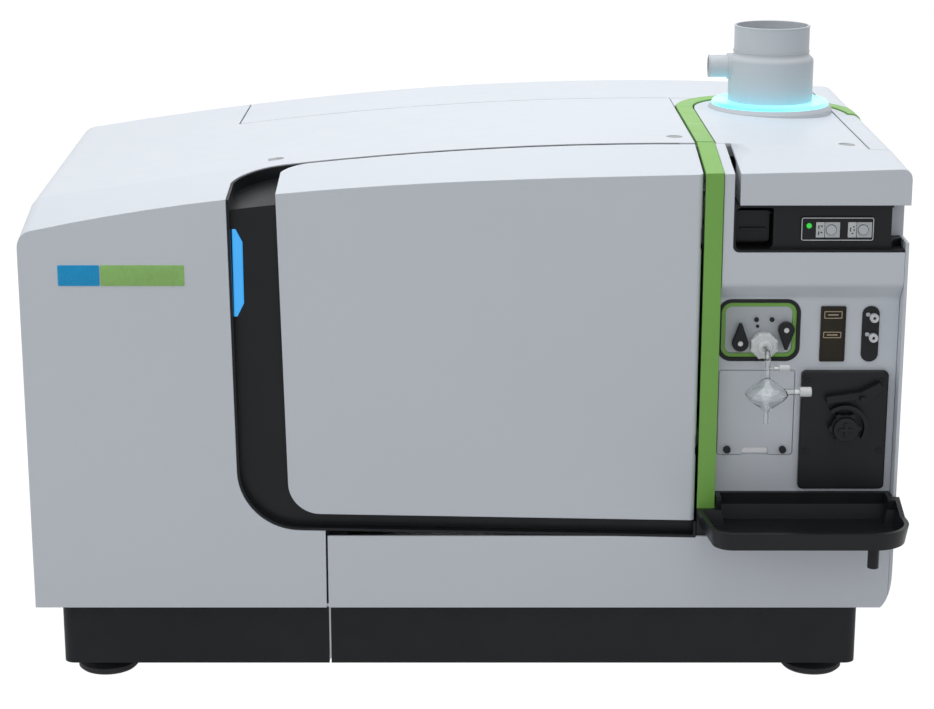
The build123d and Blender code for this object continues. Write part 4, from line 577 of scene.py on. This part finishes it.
bulkheads = [(x, middle) for x in rear["bulkheadXs"]]
nut = {"at": (bulkheads[0][0], seat, middle), "radius": 8.5, "depth": 3.4, "sides": 6, "steps": [(1.6, 0.7)],
       **onHousing("screw_steel")}
finishRow(turnedToRear(repeatPiece(turnedDisc(nut), bulkheads)), "bulkheadNut", nut)
stub = {"at": (bulkheads[0][0], face - 5.4, middle), "radius": 5.0, "depth": 4.2, "sides": 32,
        "steps": [(0.7, 0.6), (1.6, -3.2)], **onHousing("cone_nickel")}
finishRow(turnedToRear(repeatPiece(turnedDisc(stub), bulkheads)), "bulkheadStub", stub)

inset = rear["screwInset"]
panelCorners = [(x, z) for z in (z0 + inset, z1 - inset) for x in (x0 + inset, x1 - inset)]
panelScrew = {"at": (panelCorners[0][0], seat, panelCorners[0][1]), "radius": 3.4, "depth": 1.4, "sides": 32,
              "steps": [(0.6, 0.5), (1.2, -0.9)], **onHousing("screw_steel")}
finishRow(turnedToRear(repeatPiece(turnedDisc(panelScrew), panelCorners)), "connectorScrew", panelScrew)
print("rear connector panel made")

# chimney: half-round beads at the collar's mouth and foot, and at the spigot's mouth
beads = {
    "collarMouthBead": {"at": (431, 116, 798.0), "ring": 50.5, "wire": 1.0, "turn": (0, 0, 0)},
    "collarFootBead": {"at": (431, 116, 764.2), "ring": 51.2, "wire": 0.8, "turn": (0, 0, 0)},
    "spigotMouthBead": {"at": (346.6, 116, 743), "ring": 14.7, "wire": 0.9, "turn": (0, 90, 0)},
}
beadShape = {"round": 96, "across": 12, "smooth": 60}
for pieceName, look in beads.items():
    bpy.ops.mesh.primitive_torus_add(major_segments=beadShape["round"], minor_segments=beadShape["across"],
                                     major_radius=look["ring"] * mm, minor_radius=look["wire"] * mm,
                                     location=[value * mm for value in look["at"]],
                                     rotation=[math.radians(value) for value in look["turn"]])
    bead = bpy.context.object
    applyPlace(bead)
    centre = Vector([value * mm for value in look["at"]])
    pickFaces(bead, lambda face: (face.center - centre).length < look["ring"] * mm)  # the half inside the wall
    bpy.ops.mesh.delete(type="FACE")
    bpy.ops.mesh.select_mode(type="EDGE")
    bpy.ops.mesh.select_all(action="DESELECT")
    bpy.ops.mesh.select_non_manifold()
    bpy.ops.mesh.bridge_edge_loops()
    bpy.ops.mesh.select_all(action="SELECT")
    bpy.ops.mesh.normals_make_consistent(inside=False)
    bpy.ops.object.mode_set(mode="OBJECT")
    finishPiece(bead, pieceName, onHousing("chimney_grey"), beadShape["smooth"])
print("chimney beads made")

# closing pieces where the top covers meet the green arch
arch = {"x": 430, "y": 99, "inner": 104.4, "outer": 129.6, "top": 690, "thick": 4}
innerFill = {"right": 518.4, "front": 96.6, "besideY": 94, **onHousing("cover_white")}
cornerFill = {"x": 321.5, "y": 152.5, "wide": 41.4, "deep": 73.6, "besideY": 196, **onHousing("cover_white")}
underArch = {"box": (549.6, 553.5, 96.7, 141.2, 635.8, 650.9), "corner": 0.2, "segments": 2,
             **onHousing("cover_white")}
highAbove = 1.2


def heightAbove(x, y):
    layers = bpy.context.evaluated_depsgraph_get()
    return bpy.context.scene.ray_cast(layers, (x, y, highAbove), (0, 0, -1))[1].z


def drape(piece, besideY):  # follow the height of the cover beside it, which changes along X only
    y, flatTop = besideY * mm, arch["top"] * mm
    rises = {round(point.co.x, 5): heightAbove(point.co.x, y) - flatTop for point in piece.data.vertices}
    for x, rise in rises.items():
        startEdit(piece, "VERT")
        for point in piece.data.vertices:
            point.select = near(point.co.x, x)
        bpy.ops.object.mode_set(mode="EDIT")
        bpy.ops.transform.translate(value=(0, 0, rise))
        bpy.ops.object.mode_set(mode="OBJECT")


def cutAway(piece, place, normal):  # remove what lies beyond a plane and close the cut
    startEdit(piece, "FACE")
    bpy.ops.object.mode_set(mode="EDIT")
    bpy.ops.mesh.select_all(action="SELECT")
    bpy.ops.mesh.bisect(plane_co=[value * mm for value in place], plane_no=normal, use_fill=True, clear_outer=True)
    bpy.ops.object.mode_set(mode="OBJECT")


def archDisc(radius, depth, sides):
    place = (arch["x"] * mm, arch["y"] * mm, (arch["top"] - arch["thick"] / 2) * mm)
    bpy.ops.mesh.primitive_cylinder_add(vertices=sides, radius=radius * mm, depth=depth * mm, location=place)
    return bpy.context.object


segment = archDisc(arch["inner"], arch["thick"], 128)
applyPlace(segment)
cutAway(segment, (innerFill["right"], 0, 0), (-1, 0, 0))
cutAway(segment, (0, innerFill["front"], 0), (0, -1, 0))
drape(segment, innerFill["besideY"])
finishPiece(segment, "archInnerFill", innerFill)

bpy.ops.mesh.primitive_cube_add(size=1, location=(cornerFill["x"] * mm, cornerFill["y"] * mm,
                                                  (arch["top"] - arch["thick"] / 2) * mm))
corner = bpy.context.object
corner.scale = (cornerFill["wide"] * mm, cornerFill["deep"] * mm, arch["thick"] * mm)
applyPlace(corner)
cutWith(corner, archDisc(arch["outer"], 100, 160))
drape(corner, cornerFill["besideY"])
finishPiece(corner, "archCornerFill", cornerFill)
finishPiece(roundedPlate(underArch), "archEndFill", underArch)
print("green arch closed in")

# dark caps on the two studs of the torch plate, and a small one under the left
capShape = {"depth": 1.4, "sides": 32, "steps": [(0.5, 0.4)], **onHousing("trim_black")}
studs = [(370.5, 486), (389.5, 486)]
studCap = {"at": (studs[0][0], -280.4, studs[0][1]), "radius": 3.0, **capShape}
smallCap = {"at": (372.5, -277.3, 477), "radius": 2.0, **capShape}
finishRow(repeatPiece(turnedDisc(studCap), studs) + [turnedDisc(smallCap)], "studCap", studCap)
print("studs capped")

print("scene dressed")
